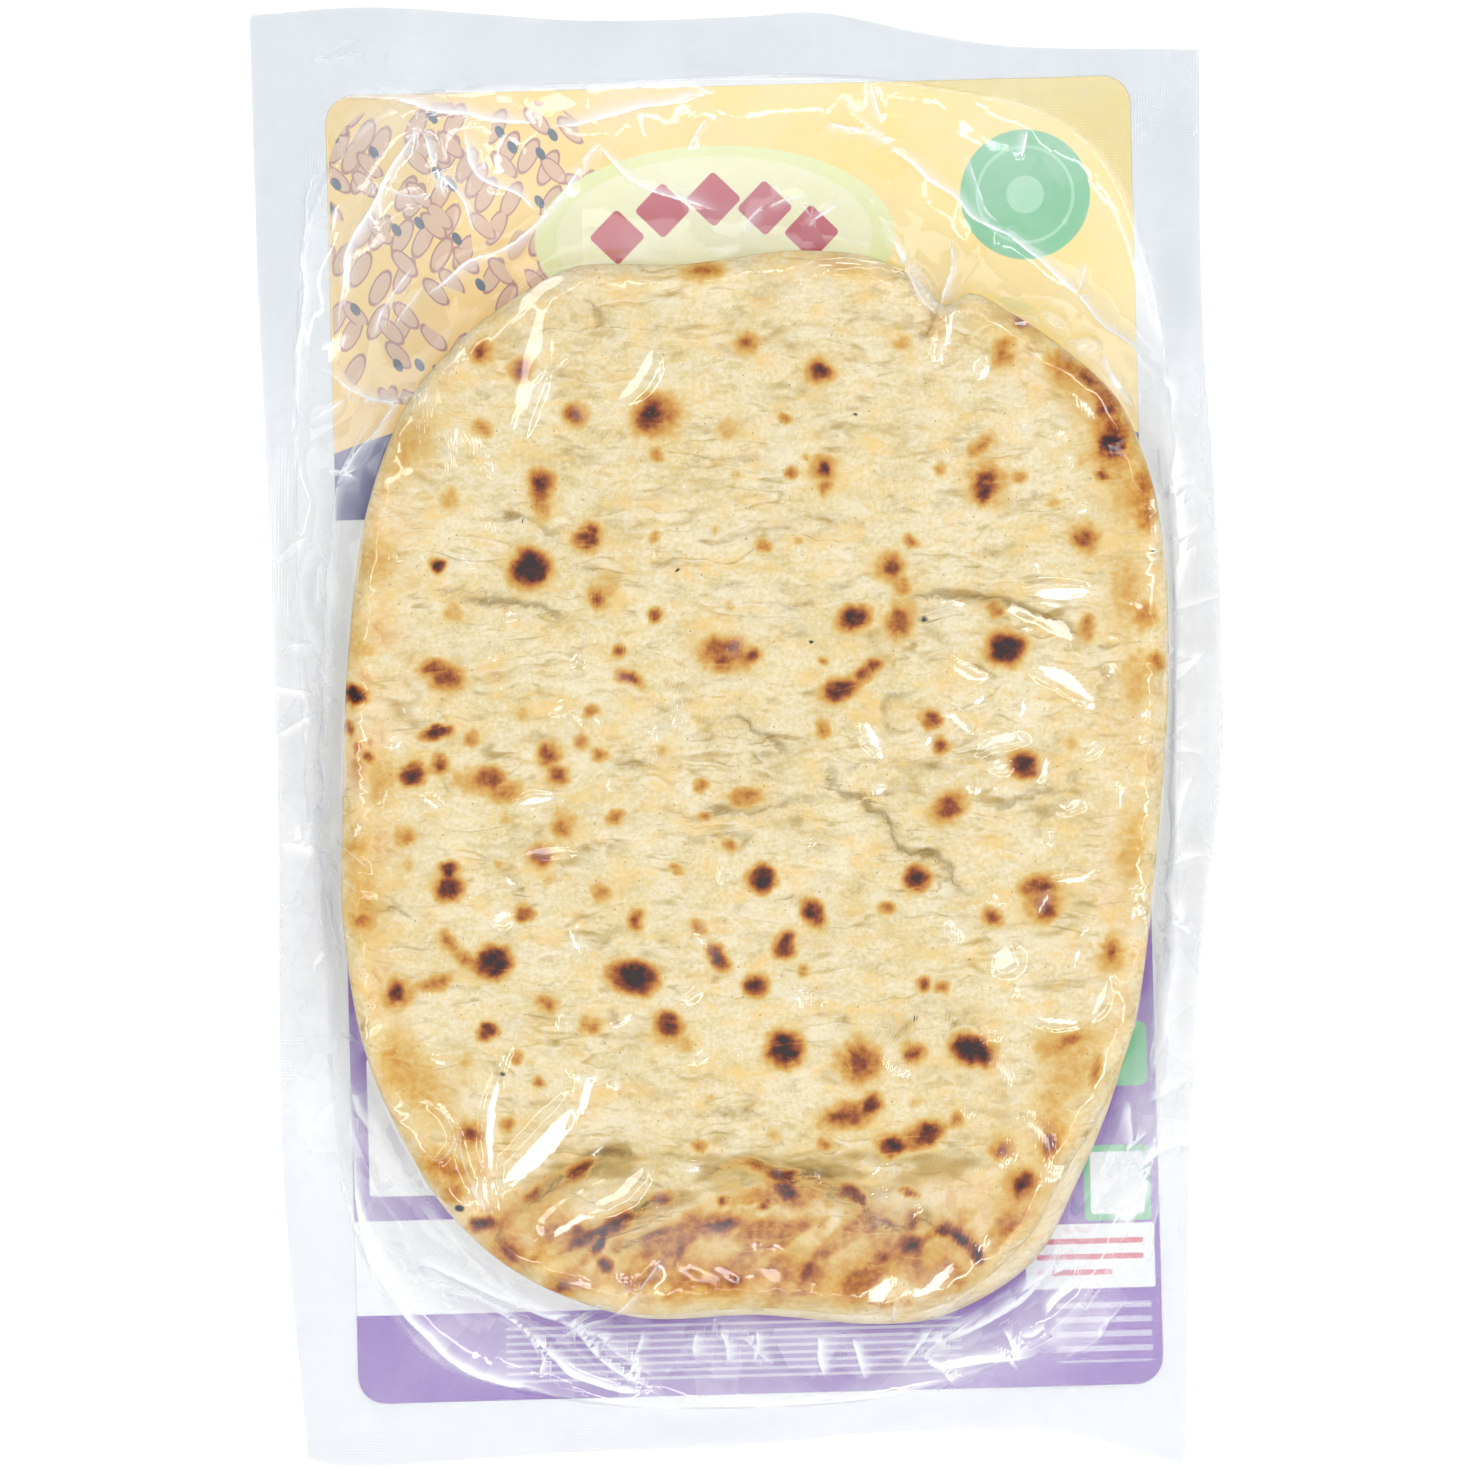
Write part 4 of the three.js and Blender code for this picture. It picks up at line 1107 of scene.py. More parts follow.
        # Painted shade along a long band across the foot.
        dip = np.exp(-(((y + 78 - 0.0016 * (x - 4) ** 2) / 4.5) ** 2)) * eased((52 - np.abs(x - 6)) / 16)
        shade = shade + 0.62 * dip * (0.7 + 1.2 * noise.rough(x, y, 12.0, 3.0, 4))
        nearer = np.abs(folds.side) < np.abs(cracks.side)
        split = np.where(nearer, folds.side, cracks.side)
        split_deep = np.where(nearer, folds.share, cracks.share) * fade * (1 + 0.9 * foot)
        return height, shade, split, split_deep, self.scorched(x, y, inward, folds, foot)

    def scorched(self, x: Array, y: Array, inward: Array, folds: FoldField, foot: Array) -> Array:
        """Returns how scorched the upper bread's foot is: the most that any of four causes gives.

        They are the folds themselves, a brown band just below each fold that paints the shade under it,
        flames of noise along the edge, and one smear. Noises make all of them patchy.

        Args:
            x, y: the points.
            inward: their distance in from the edge.
            folds: the folds' field.
            foot: the share of the foot, from 0 above it to 1 on it.
        """
        noise = Noise(self.seed + 1)
        burnt = 0.86 * folds.share**1.2 * foot * eased(0.75 + 1.1 * noise.at(x, y, 6.0))
        # Painted shade on the lower side of each fold, in toast's colours.
        below = 0.44 * np.sqrt(folds.share) * np.exp(np.minimum(folds.side, 0) / 2.6) * (folds.side < 0)
        burnt = np.maximum(burnt, below * foot * eased(0.7 + noise.at(x + 9, y, 8.0)))
        flames = noise.rough(x - 0.7 * y, 0.6 * y, 9.0, 6.5)
        outer = eased((-79 - y) / 8) * eased((inward - 1.0) / 2.5)
        burnt = np.maximum(burnt, outer * (0.1 + 0.4 * eased(0.36 + 1.1 * flames)))
        smear = np.exp(-(((x - 8) / 15) ** 2) - ((y + 81.5) / 4.2) ** 2)
        return np.maximum(burnt, 0.42 * smear * eased(0.6 + 1.2 * noise.rough(x, y + 30, 7.0, 3.0)))

    def under_face(self, equator: Array) -> tuple[Array, dict[str, Array]]:
        """Returns the points and marks of the underside, from just under the rim to the middle.

        Args:
            equator: the rim's outermost points.
        """
        share = 1.0 - (np.arange(1, self.under_rings + 1) / (self.under_rings + 0.5)) ** 1.5
        hub = np.asarray(self.form.hub)
        across = hub + (equator[None, :, :2] - hub) * share[:, None, None]
        x, y = across[..., 0].ravel(), across[..., 1].ravel()
        rim_height = np.tile(equator[:, 2], self.under_rings)
        inward = np.linalg.norm(across - equator[None, :, :2], axis=2).ravel()
        t = np.clip(inward / self.under_roll, 0, 1)
        rolled = (rim_height - self.floor) * (1.0 - np.sqrt(1.0 - (1.0 - t) ** 2))
        noise = Noise(self.seed + 2)
        dents = 0.35 * eased(inward / 8.0) * (0.5 + 0.5 * noise.rough(x, y, 8.0))
        marks = {
            "toast": self.toast(x, y, self.random_spots(130)),
            # Painted shade in the underside's grooves.
            "crease": 0.5 * noise.veins(x, y, 14.0, 5.0, 3.0) ** 3 * eased(inward / 6.0),
            "rim": np.clip(np.exp(-inward / 6.0) * 0.8, 0, 1),
            "seed": np.zeros_like(x), "split": np.full_like(x, NO_FOLD), "split_deep": np.zeros_like(x),
        }
        return np.stack([x, y, self.floor + rolled + dents], 1), marks

    def build(self, crumb: Effect, fold_line: Effect) -> bpy.types.Object:
        """Makes the bread as one closed shell: the top face, the underside's rings and a middle point.

        Args:
            crumb: the crumb effect.
            fold_line: the fold line effect.
        """
        top, top_marks = self.top_face()
        edge = self.grid.edge()
        under, under_marks = self.under_face(top[edge])
        middle = np.array([[*self.form.hub, under[-len(edge):, 2].mean()]])
        strip = ring_faces(edge, len(top), self.under_rings)
        last = len(top) + len(under) - len(edge) + np.arange(len(edge))
        fan = np.stack([last, np.full(len(edge), len(top) + len(under)), np.roll(last, -1)], 1)
        marks = {key: np.concatenate([top_marks[key], under_marks[key], [0.0]]) for key in top_marks}
        return add_piece(self.name, "clear_bag", np.vstack([top, under, middle]),
                         [self.grid.faces(), strip, fan], marks, self.finish.make(crumb, fold_line))


# ---- Films ---------------------------------------------------------------------------------


def waffle_effect() -> Effect:
    """Makes the sealed border's fine embossed waffle: the product of two sines along the diagonals."""
    effect = Effect("seal waffle", {"Place": "Vector", "Pitch": "Float"}, {"Height": "Float"})
    nodes = effect.nodes
    parts = nodes.add("SeparateXYZ", {0: effect.into["Place"]})
    turns = nodes.math("DIVIDE", 2 * math.pi, effect.into["Pitch"])
    waves = [
        nodes.math("SINE", nodes.times(nodes.math(way, parts.outputs[0], parts.outputs[1]), turns))
        for way in ("ADD", "SUBTRACT")
    ]
    effect.give("Height", nodes.spread(nodes.times(waves[0], waves[1]), -1.0, 1.0))
    return effect


@dataclass(frozen=True)
class ClearFinish:
    """Thin clear glossy film: see-through, milky in its folds and embossed where it is sealed, with painted
    light and shade on its folds and painted shade towards its upper end.
    """

    name: str = "clear_film"
    open_tint: Ink = (252, 253, 253)
    seal_tint: Ink = (244, 245, 247)
    milk: Ink = (243, 246, 251)
    shadow: Ink = (198, 209, 214)
    gloss: float = 0.1

    def make(self, waffle: Effect, fold_line: Effect) -> bpy.types.Material:
        """Builds the material.

        Args:
            waffle: the sealed border's emboss.
            fold_line: the fold line effect.
        """
        material, nodes = new_material(self.name)
        place, seal = nodes.place(), nodes.mark("seal")
        emboss = waffle.put(nodes, {"Place": place, "Pitch": 1.05 * MM})["Height"]
        side, high = nodes.mark("crest"), nodes.mark("crest_high")
        crest = fold_line.put(nodes, {"Side": side, "Share": high, "Width": 0.32})
        crinkle = nodes.cloud(place, 5.0, 2.0, 0.5)
        loose = nodes.math("SUBTRACT", 1.0, nodes.mark("flat"), clamp=True)
        tent = nodes.mark("tent")
        shards, shade = self.shards(nodes, place)
        soft = nodes.spread(tent, 0.0, 1.0, 0.26, 0.08)
        soft = nodes.times(soft, nodes.spread(seal, 0.0, 1.0, 1.0, 0.2))
        ripple = nodes.times(crinkle, nodes.times(loose, soft))
        relief = nodes.total(
            (nodes.times(emboss, seal), 0.06), (ripple, 1.0), (crest["Ridge"], 0.25),
            (nodes.times(shards, nodes.times(tent, loose)), 0.42),
        )
        normal = nodes.bump(relief)
        # Painted light and shade on the folds: the veil is brighter on one side of each and the tint darker
        # on the other.
        bands = fold_line.put(nodes, {"Side": side, "Share": high, "Width": 2.0})["Ridge"]
        painted_lit_side = nodes.times(bands, nodes.spread(side, -0.1, 0.2))
        dark = nodes.times(crest["Ridge"], nodes.spread(side, -0.5, 0.1, 1.0, 0.0))
        tint = nodes.mix(seal, self.open_tint, self.seal_tint)
        # Painted shade: the tint turns towards the shadow ink beside folds and towards the pack's upper end.
        tint = nodes.mix(nodes.total((dark, 0.5), (nodes.mark("dusk"), 0.22)), tint, self.shadow)
        clear = nodes.add("BsdfTransparent", {"Color": tint})
        upward = nodes.add("CombineXYZ", {2: 1.0}).outputs[0]
        white = nodes.add("BsdfDiffuse", {"Color": srgb(*self.milk), "Normal": upward})
        clouds = nodes.spread(nodes.cloud(place, 14.0, 3.0), 0.3, 0.7, 0.5, 1.0)
        # The milky veil: random clouds, the shards' own shade and painted light on the folds.
        patchy = nodes.total((clouds, 0.8), (shade, 0.5), (painted_lit_side, 2.2))
        veil = nodes.times(nodes.mark("haze"), patchy)
        worn = nodes.spread(nodes.cloud(place, 2.6, 2.0), 0.36, 0.6, 0.35, 1.0)
        line = nodes.times(nodes.times(crest["Line"], nodes.mark("white")), worn)
        camera = nodes.add("LightPath").outputs["Is Camera Ray"]
        cloudy = nodes.math("ADD", veil, line, clamp=True)
        cloudy = nodes.times(cloudy, nodes.spread(camera, 0.0, 1.0, 0.2, 1.0))
        body = nodes.add("MixShader", {0: cloudy, 1: clear.outputs[0], 2: white.outputs[0]})
        shine = nodes.add("BsdfGlossy", {"Color": WHITE, "Roughness": self.gloss, "Normal": normal})
        glance = nodes.add("Fresnel", {"IOR": 1.5, "Normal": normal})
        seen = nodes.spread(camera, 0.0, 1.0, 0.4, 2.2)
        bright = nodes.math("SUBTRACT", 1.0, nodes.mark("dull"), clamp=True)
        glance = nodes.math("MINIMUM", glance.outputs[0], 0.08)
        strength = nodes.times(glance, nodes.times(seen, bright))
        surface = nodes.add("MixShader", {0: strength, 1: body.outputs[0], 2: shine.outputs[0]})
        nodes.output(surface)
        return material

    def shards(self, nodes: Nodes, place: Socket) -> tuple[Socket, Socket]:
        """Returns the relief and the shade of crumpled film: flat shards, each tilted its own way.

        A shard is a cell of a Voronoi pattern. Its height is the distance from the cell's middle
        times a slope that is drawn with the cell's colour, and its shade is one of the colour's parts.

        Args:
            nodes: the material's nodes.
            place: the object coordinates.
        """
        reliefs, shades = [], []
        for size, long, turn in ((15.0, 0.55, 25.0), (7.0, 0.6, -35.0)):
            laid = nodes.stretch(place, 1.0, long, turn)
            cells = nodes.add("TexVoronoi", {"Vector": laid, "Scale": 1.0 / (size * MM)}, feature="F1",
                              voronoi_dimensions="2D")
            away = nodes.vector("SUBTRACT", laid, cells.outputs["Position"]).outputs[0]
            tilt = nodes.vector("SUBTRACT", cells.outputs["Color"], (0.5, 0.5, 0.5)).outputs[0]
            flat = nodes.vector("MULTIPLY", tilt, (1.0, 1.0, 0.0)).outputs[0]
            slope = nodes.vector("DOT_PRODUCT", away, flat).outputs["Value"]
            reliefs.append(nodes.math("DIVIDE", slope, MM))
            shades.append(nodes.add("SeparateColor", {0: cells.outputs["Color"]}).outputs[2])
        relief = nodes.total((reliefs[0], 1.0), (reliefs[1], 0.8))
        return relief, nodes.total((shades[0], 0.6), (shades[1], 0.5))


# The clear film's sharp folds: each one's line, height and foot.
CRESTS = (
    Fold(((-75.6, 113.3), (-67.3, 115.1), (-59.1, 114.2), (-49.9, 111.9), (-39.8, 110.5), (-34.3, 109.6)),
         1.2, 1.8),
    Fold(((-34.3, 108.7), (-25.1, 111.4), (-11.3, 114.2), (-0.3, 117)), 0.9, 1.6),
    Fold(((-57.7, 110.5), (-53.6, 102.3), (-49, 95.8), (-46.2, 88.5)), 1.2, 1.0),
    Fold(((-49.9, 109.6), (-46.2, 101.3), (-39.8, 96.8), (-34.3, 93.1)), 1.1, 1.0),
    Fold(((-57.2, 110.5), (-60.9, 103.2), (-66.4, 94), (-70.1, 84.8), (-71, 69.2)), 1.1, 1.2),
    Fold(((-25.1, 107.8), (-30.6, 97.7), (-39.8, 88.5), (-49.9, 83), (-57.2, 77.5)), 1.2, 1.3),
    Fold(((-25.1, 107.8), (-19.6, 100.4), (-9.5, 95.8), (-1.2, 93.1)), 0.9, 1.2),
    Fold(((-74.7, 105), (-77.4, 94), (-78.4, 72), (-81.1, 45.3)), 0.8, 1.2),
    Fold(((-75.6, 66.4), (-62.7, 59.1), (-59.1, 60), (-53.6, 62.8)), 1.0, 1.1),
    Fold(((-59.1, 60), (-67.3, 51.8), (-71.9, 42.6)), 0.9, 1.1),
    Fold(((13.6, 118.7), (28.2, 105.6), (40.8, 94.8), (47.8, 89.4), (57.7, 81.9), (66, 73.7), (73.4, 67.1),
          (77.6, 62.1), (78.8, 53)), 1.5, 1.9),
    Fold(((27.1, 89.4), (30.4, 81.9), (35.4, 75.3), (37.1, 74.5)), 0.9, 1.0),
    Fold(((38.7, 89.4), (37.9, 81.1), (36.2, 74.5)), 0.9, 0.9),
    Fold(((79.2, 56.3), (78.8, 43.1), (79.2, 31.5), (77.6, 18.3)), 0.9, 1.1),
    Fold(((-77.4, 120.6), (-71, 124.3), (-66.4, 126.1)), 0.5, 1.0),
    Fold(((-69.4, -61.8), (-68.5, -80.2), (-67.6, -89.4), (-63.9, -98.6), (-57.4, -105.9), (-51, -113.3),
          (-40, -116.9), (-27.1, -119.2)), 1.3, 1.7),
    Fold(((-67.6, -90.3), (-55.6, -94.9), (-41.8, -100.4), (-31.7, -105), (-21.6, -113.3), (-10.6, -120.6)),
         1.1, 1.2),
    Fold(((-39.1, -105), (-27.1, -116), (-14.3, -118.8)), 1.0, 1.1),
    Fold(((-12.8, -92), (-15.6, -96.7), (-21.8, -102.5), (-29.6, -106.9), (-33.6, -109.6)), 1.0, 0.9),
    Fold(((-22.6, -99), (-27.3, -102.9), (-31.6, -106.8)), 0.8, 0.7),
    Fold(((-21.4, -98.6), (-16.4, -98.6)), 0.6, 0.7),
    Fold(((-3.5, -102.9), (-3.9, -106.8)), 0.7, 0.7),
    Fold(((-57.6, -64.4), (-52, -66.7), (-50.2, -71.3), (-53, -74.9), (-56.6, -72.2)), 0.8, 0.7),
    Fold(((-48.4, -68.5), (-49.1, -74), (-46.5, -82.3), (-43.3, -85)), 0.8, 0.8),
    Fold(((-55.7, -77.7), (-54.8, -80.5), (-50.2, -83.2)), 0.7, 0.7),
    Fold(((-7, -105.5), (-7.6, -109), (-7, -112)), 0.9, 0.8),
    Fold(((-2.5, -105), (-1.5, -110), (-2.5, -114)), 0.9, 0.8),
    Fold(((3, -106), (3.6, -109), (3, -113)), 0.8, 0.8),
    Fold(((14.6, -107), (15, -111), (16.3, -116)), 0.9, 0.8),
    Fold(((20.5, -107), (22, -111), (24, -116.8)), 0.9, 0.8),
    Fold(((28.1, -99), (28.1, -105.8)), 0.9, 0.8),
    Fold(((44.2, -103.2), (36.6, -108.3), (34, -111.7), (36.6, -114.2), (44.2, -112.5), (51.8, -111.7),
          (58.5, -109.2)), 1.1, 1.0),
    Fold(((55.2, -115.9), (67, -105.8), (72, -98.2), (75.4, -89.7), (75.4, -74.5)), 1.2, 1.5),
    Fold(((53.5, -111.7), (61.9, -105.8), (67, -99), (70.4, -92.3)), 1.0, 1.0),
    Fold(((63.6, -77.9), (70.4, -76.2), (72.9, -81.3), (70.4, -85.5), (63.6, -83.8)), 0.9, 0.8),
    Fold(((30, -109), (44, -106), (54, -99), (60, -90)), 0.8, 1.0),
    Fold(((-66, 60), (-72, 40), (-74, 10), (-75, -20), (-73, -50)), 0.7, 1.3),
    Fold(((77.5, 20), (78, 0), (77.5, -20), (76, -50)), 0.7, 1.1),
    Fold(((73, -30), (75.5, -48), (74.5, -64)), 0.6, 0.8),
)

# Flat facets of film that face one of the lights: x, y, length, width and the turn of the length.
GLINTS: tuple[Spot, ...] = (
    (-36.1, 66.5, 28, 5.5, 80), (-35.2, 79.3, 15, 4.5, 35), (-16.8, 63.6, 16.5, 3.6, 56),
    (17.2, 83.9, 22, 1.8, 5), (37.3, 71.3, 11, 2, 72), (-27.8, 57.2, 4, 1.2, -65), (-45, 50, 8, 1.6, -50),
    (-50, 52, 8, 1.4, 70), (-35.2, -11.2, 10, 1.5, 8), (-33.6, -20.4, 11, 1.6, 4),
    (-28.6, -36.4, 7, 1.4, -62), (-5.2, -37, 9, 1.6, -50), (-8, -45.1, 7, 2, 40), (-20.6, -49.2, 5, 1.8, 30),
    (11.4, -46.8, 4.5, 2, -60), (-6.6, -56.5, 5, 1.8, 30), (34.2, -31.6, 4, 1.3, -50),
    (24, -0.4, 7, 2.6, -62), (-10.3, 4.2, 4.5, 1.2, -50), (-29, 2, 6, 1.4, -55), (-31.4, 4.7, 4, 1.5, 20),
    (-43.8, 15.2, 4, 1.2, -45), (-20.4, 10.2, 5, 1, -30), (40.5, 11.2, 6.8, 1.9, -30),
    (58.4, 9.8, 12, 3.4, -29), (56.8, 25.6, 11.5, 3.1, 0), (39.2, 3, 8, 2, -45), (46.9, -0.5, 9, 2.5, 15),
    (54.6, -5.7, 5, 2, 80), (72.3, 3.9, 3, 1.5, 0), (59.6, -12.3, 5, 2, 20), (68, -10.7, 5, 1.5, 90),
    (66.1, 11.6, 2, 1, 0), (-35.1, -73.2, 22, 5.9, 47), (-26.8, -63, 9, 2.5, 80), (-44, -70, 26, 2.5, 88),
    (-20.3, -81.1, 16, 3.5, 33), (-44.5, -81.5, 7, 2, 100), (25.2, -98.5, 7, 3.6, 60),
    (35.2, -97.2, 10, 3.2, 45), (54, -70, 9, 2.5, -50), (56.6, -77.7, 6, 4, 0), (63.9, -67.6, 6, 1.5, 70),
    (47.9, -39.6, 6, 5, 30), (39.6, -39.6, 3, 1, 30), (60.3, -39.1, 6, 1.2, 70), (64.8, -46.5, 10, 2.2, 65),
    (56, -50.6, 11, 1.8, -10), (41.9, -30.9, 2.5, 1.3, -30), (60.3, -25.3, 9, 1.2, 15),
    (28.6, -57.5, 6.5, 1.8, -40), (47.4, -58.9, 7, 1.5, -50), (70.8, -28.1, 3, 1.2, 0),
    (61, 40.2, 4, 1.5, 20), (56.9, 52.2, 3, 1.2, 0), (59, 48.9, 2.5, 1, 70), (36.2, 49.7, 5, 1.2, 0),
    (43.7, 64.6, 5, 2.5, 60), (61, 69.5, 8, 3, 20), (51.1, 73.7, 6, 2, 0), (67.6, 62.9, 3, 1.5, 0),
    (74.2, 41.4, 5, 1.5, 80), (74.7, 37.3, 4, 1.2, 80), (-41.5, -32.2, 4, 2.5, 20),
    (-56.2, -46.9, 4, 1.2, 70), (-27.2, -59.3, 8, 1.2, -15), (7.5, -77, 1.5, 1.5, 0),
    (14.5, -78, 1.5, 1.5, 0), (9.1, -84.4, 3, 1.2, 0), (43.8, -90.2, 2, 1.2, 0), (-28, -97.3, 8, 1.5, 0),
    (28.2, 88, 8, 1.8, -62), (33.4, 79, 11, 3, -63), (-49, 68, 9, 1.6, 60), (-56, 57, 8, 1.4, 75),
    (62, 58, 5, 1.6, -50), (57, 74, 6, 1.8, -35),
)


@dataclass(frozen=True)
class Softboxes:
    """Four strip lights round the pack, each facing it: where they stand, in metres, and how bright."""

    bearings: tuple[float, ...] = (-45.0, -135.0, 135.0, 45.0)
    powers: tuple[float, ...] = (2.9, 1.9, 1.5, 2.2)
    rise: float = 57.0
    away: float = 1.0
    size: Point = (0.9, 0.13)

    def middle(self, bearing: float) -> Array:
        """Returns the middle of the light that stands at a bearing."""
        b, r = math.radians(bearing), math.radians(self.rise)
        return self.away * np.array([math.cos(r) * math.cos(b), math.cos(r) * math.sin(b), math.sin(r)])

    def samples(self, count: int = 9) -> Array:
        """Returns points along the lights in millimetres, one row each."""
        rows = []
        for bearing in self.bearings:
            b = math.radians(bearing)
            along = np.array([-math.sin(b), math.cos(b), 0.0])
            rows += [self.middle(bearing) + s * self.size[0] * along for s in np.linspace(-0.4, 0.4, count)]
        return np.array(rows) / MM


@dataclass
class ClearFilm:
    """The clear film: over the breads, down to the sealed border like a tent, and out to the pack's edge."""

    form: PackForm
    grid: DiscGrid
    lights: Softboxes
    eye: tuple[float, float, float]
    border_rings: int = 7
    lift: float = 0.7
    clear: float = 0.15
    tent_sag: float = 1.7
    seal_height: float = 0.3
    small_glints: int = 90
    strays: int = 80
    finish: ClearFinish = field(default_factory=ClearFinish)

    def base(self, x: Array, y: Array) -> Array:
        """Returns the film's height inside the cavity's edge, without the facets that catch the light.

        On the upper bread it follows the softened broad relief and a little of the folds, joined to
        the bread's own height by a smooth maximum. Outside it falls to the border by a power of the
        share of the way, with pleats that run down the slope. Crumpled facets lie on all of it,
        small on the bread and large on the slope.

        Args:
            x, y: the points.
        """
        form, noise = self.form, self.form.film_noise
        distance, bearing = form.polar(x, y)
        upper, cavity = form.upper_reach(bearing), form.cavity.reach(bearing)
        inward = upper - distance
        t = np.clip(inward / form.rim_roll, 0, 1)
        shoulder = 0.72 * form.rim_drop
        folds = lay_folds(FOLDS, x, y, 1.2).press
        top = form.stack_top + self.lift + eased(t) * form.broad(x, y, True) - shoulder * (1 - t) ** 1.6
        top -= 0.15 * np.maximum(folds, 0) + 0.7 * np.minimum(folds, 0)
        bread = form.stack_top - form.rolled(inward, form.rim_roll, form.rim_drop)
        bread += eased(t) * form.broad(x, y, True) - 0.75 * folds
        top = 0.5 * (top + bread + self.clear + np.sqrt((top - bread - self.clear) ** 2 + 0.05))
        share = np.clip((cavity - distance) / (cavity - upper), 0, 1)
        start = form.stack_top + self.lift - shoulder
        degrees = np.degrees(bearing)
        pleats = noise.at(degrees, share * 10, 6.5, 14.0) + 0.5 * noise.at(degrees, share * 10, 2.8, 9.0)
        slope = share * (1 - share)
        tent = self.seal_height + (start - self.seal_height) * share**self.tent_sag + 2.4 * pleats * slope
        tent += (6.0 * noise.facets(x, y, 13.0) + 2.2 * noise.facets(x + 40, y, 6.0)) * slope
        patch = eased(0.5 + noise.at(x + 300, y, 30.0))
        crumple = 0.3 * noise.facets(x, y, 8.0) + 0.12 * patch * noise.facets(x + 70, y, 3.8)
        by_rim = np.exp(-(((inward - 1.5) / 4.0) ** 2))
        puckers = 0.45 * noise.facets(x + 20, y + 20, 4.6) + 0.5 * noise.at(degrees, inward, 2.4, 9.0)
        crumple += by_rim * puckers
        over = np.where(inward > 0, top, tent) + crumple * eased(inward / 6.0 + 0.8)
        lower, _ = form.lower_top_face(x, y)
        inside_stack = distance < form.stack.reach(bearing)
        over = np.where(inside_stack & (inward <= 0), np.maximum(over, lower + self.clear), over)
        return np.maximum(over, self.seal_height)

    def stray_crests(self) -> tuple[Fold, ...]:
        """Returns seeded short fine folds on the slope between the stack and the sealed border."""
        draw = np.random.default_rng(29)
        form, folds = self.form, []
        for _ in range(self.strays):
            bearing, share = draw.uniform(-math.pi, math.pi), draw.uniform(0.1, 0.8)
            stack, cavity = (line.reach(np.array([bearing]))[0] for line in (form.stack, form.cavity))
            start = stack + share * (cavity - stack)
            along_edge = draw.random() < 0.35 + 0.5 * share
            turn = bearing + (math.pi / 2 if along_edge else 0.0) + draw.normal(0, 0.35)
            length, bend = draw.uniform(5, 17 if along_edge else 11), draw.normal(0, 0.3)
            points = [(form.hub[0] + start * math.cos(bearing), form.hub[1] + start * math.sin(bearing))]
            for step in range(3):
                way = turn + bend * step
                x, y = points[-1]
                points.append((x + length / 3 * math.cos(way), y + length / 3 * math.sin(way)))
            folds.append(Fold(tuple(points), draw.uniform(0.35, 0.8), draw.uniform(0.4, 0.8)))
        return tuple(folds)

    def glint_rows(self) -> Array:
        """Returns the named facets and the seeded small ones, one row each."""
        draw = np.random.default_rng(5)
        bearing = draw.random(self.small_glints) * 2 * math.pi
        away = self.form.stack.reach(bearing) * np.sqrt(draw.uniform(0.02, 1.0, self.small_glints))
        small = np.stack([
            *self.form.plan(away, bearing),
            draw.uniform(1.8, 4.8, self.small_glints), draw.uniform(1.0, 1.6, self.small_glints),
            draw.choice([-45, 45], self.small_glints) + draw.normal(0, 28, self.small_glints),
        ], 1)
        return np.vstack([np.array(GLINTS, float), small])

    def lay_glints(self, x: Array, y: Array, base: Array) -> tuple[Array, Array]:
        """Returns the heights with the facets laid in, and the facets' windows.

        A facet is a plane that mirrors a light to the camera: its slopes are those of the plane
        square to the half vector between the directions to both. Of all the points on the lights
        the one is taken that tilts the facet least from the film's own slope along its length. The
        facet's window falls as the sixth power of the distance over its half sizes. The window is
        bent by the square of the distance along it, narrower towards its ends and ragged by a noise.

        Args:
            x, y: the points.
            base: the film's height there.
        """
        rows, lights, eye = self.glint_rows(), self.lights.samples(), np.array(self.eye)
        turn = np.radians(rows[:, 4])
        along, across = np.stack([np.cos(turn), np.sin(turn)], 1), np.stack([-np.sin(turn), np.cos(turn)], 1)
        grid_a, grid_b = np.meshgrid(np.linspace(-0.5, 0.5, 9), np.linspace(-0.5, 0.5, 3))
        print_x = rows[:, 0, None] + grid_a.ravel() * rows[:, 2, None] * along[:, 0, None]
        print_x = print_x + grid_b.ravel() * rows[:, 3, None] * across[:, 0, None]
        print_y = rows[:, 1, None] + grid_a.ravel() * rows[:, 2, None] * along[:, 1, None]
        print_y = print_y + grid_b.ravel() * rows[:, 3, None] * across[:, 1, None]
        under = self.base(print_x.ravel(), print_y.ravel()).reshape(print_x.shape)
        height, window = base.copy(), np.zeros_like(base)
        ragged = self.form.film_noise.at(x, y, 3.2) + self.form.film_noise.at(x + 7, y, 1.4)
        for k, (gx, gy, length, width, _) in enumerate(rows):
            spot = np.array([gx, gy, under[k].mean()])
            ray = lights - spot
            half = ray / np.linalg.norm(ray, axis=1, keepdims=True)
            half = half + (eye - spot) / np.linalg.norm(eye - spot)
            slopes = -half[:, :2] / half[:, 2:]
            own = (under[k, 17] - under[k, 9]) / length
            tie_break = 0.002 * ((np.arange(len(slopes)) * 7 + k) % 5)
            best = slopes[np.argmin(np.abs(slopes @ along[k] - own) + tie_break)]
            plane = best[0] * (print_x[k] - gx) + best[1] * (print_y[k] - gy)
            rise = np.percentile(under[k] - plane, 80) + 0.08
            far = 0.8 * length + width
            near = np.flatnonzero((np.abs(x - gx) < far) & (np.abs(y - gy) < far))
            dx, dy = x[near] - gx, y[near] - gy
            a, b = dx * along[k, 0] + dy * along[k, 1], dx * across[k, 0] + dy * across[k, 1]
            b = b + 0.55 * math.sin(2.4 * k) * a**2 / length + 0.3 * ragged[near]
            half_width = (0.5 * width + 0.45) * np.maximum(1.0 - 0.6 * (2 * a / length) ** 2, 0.2)
            share = np.exp(-((b / half_width) ** 6) - (a / (0.5 * length)) ** 6)
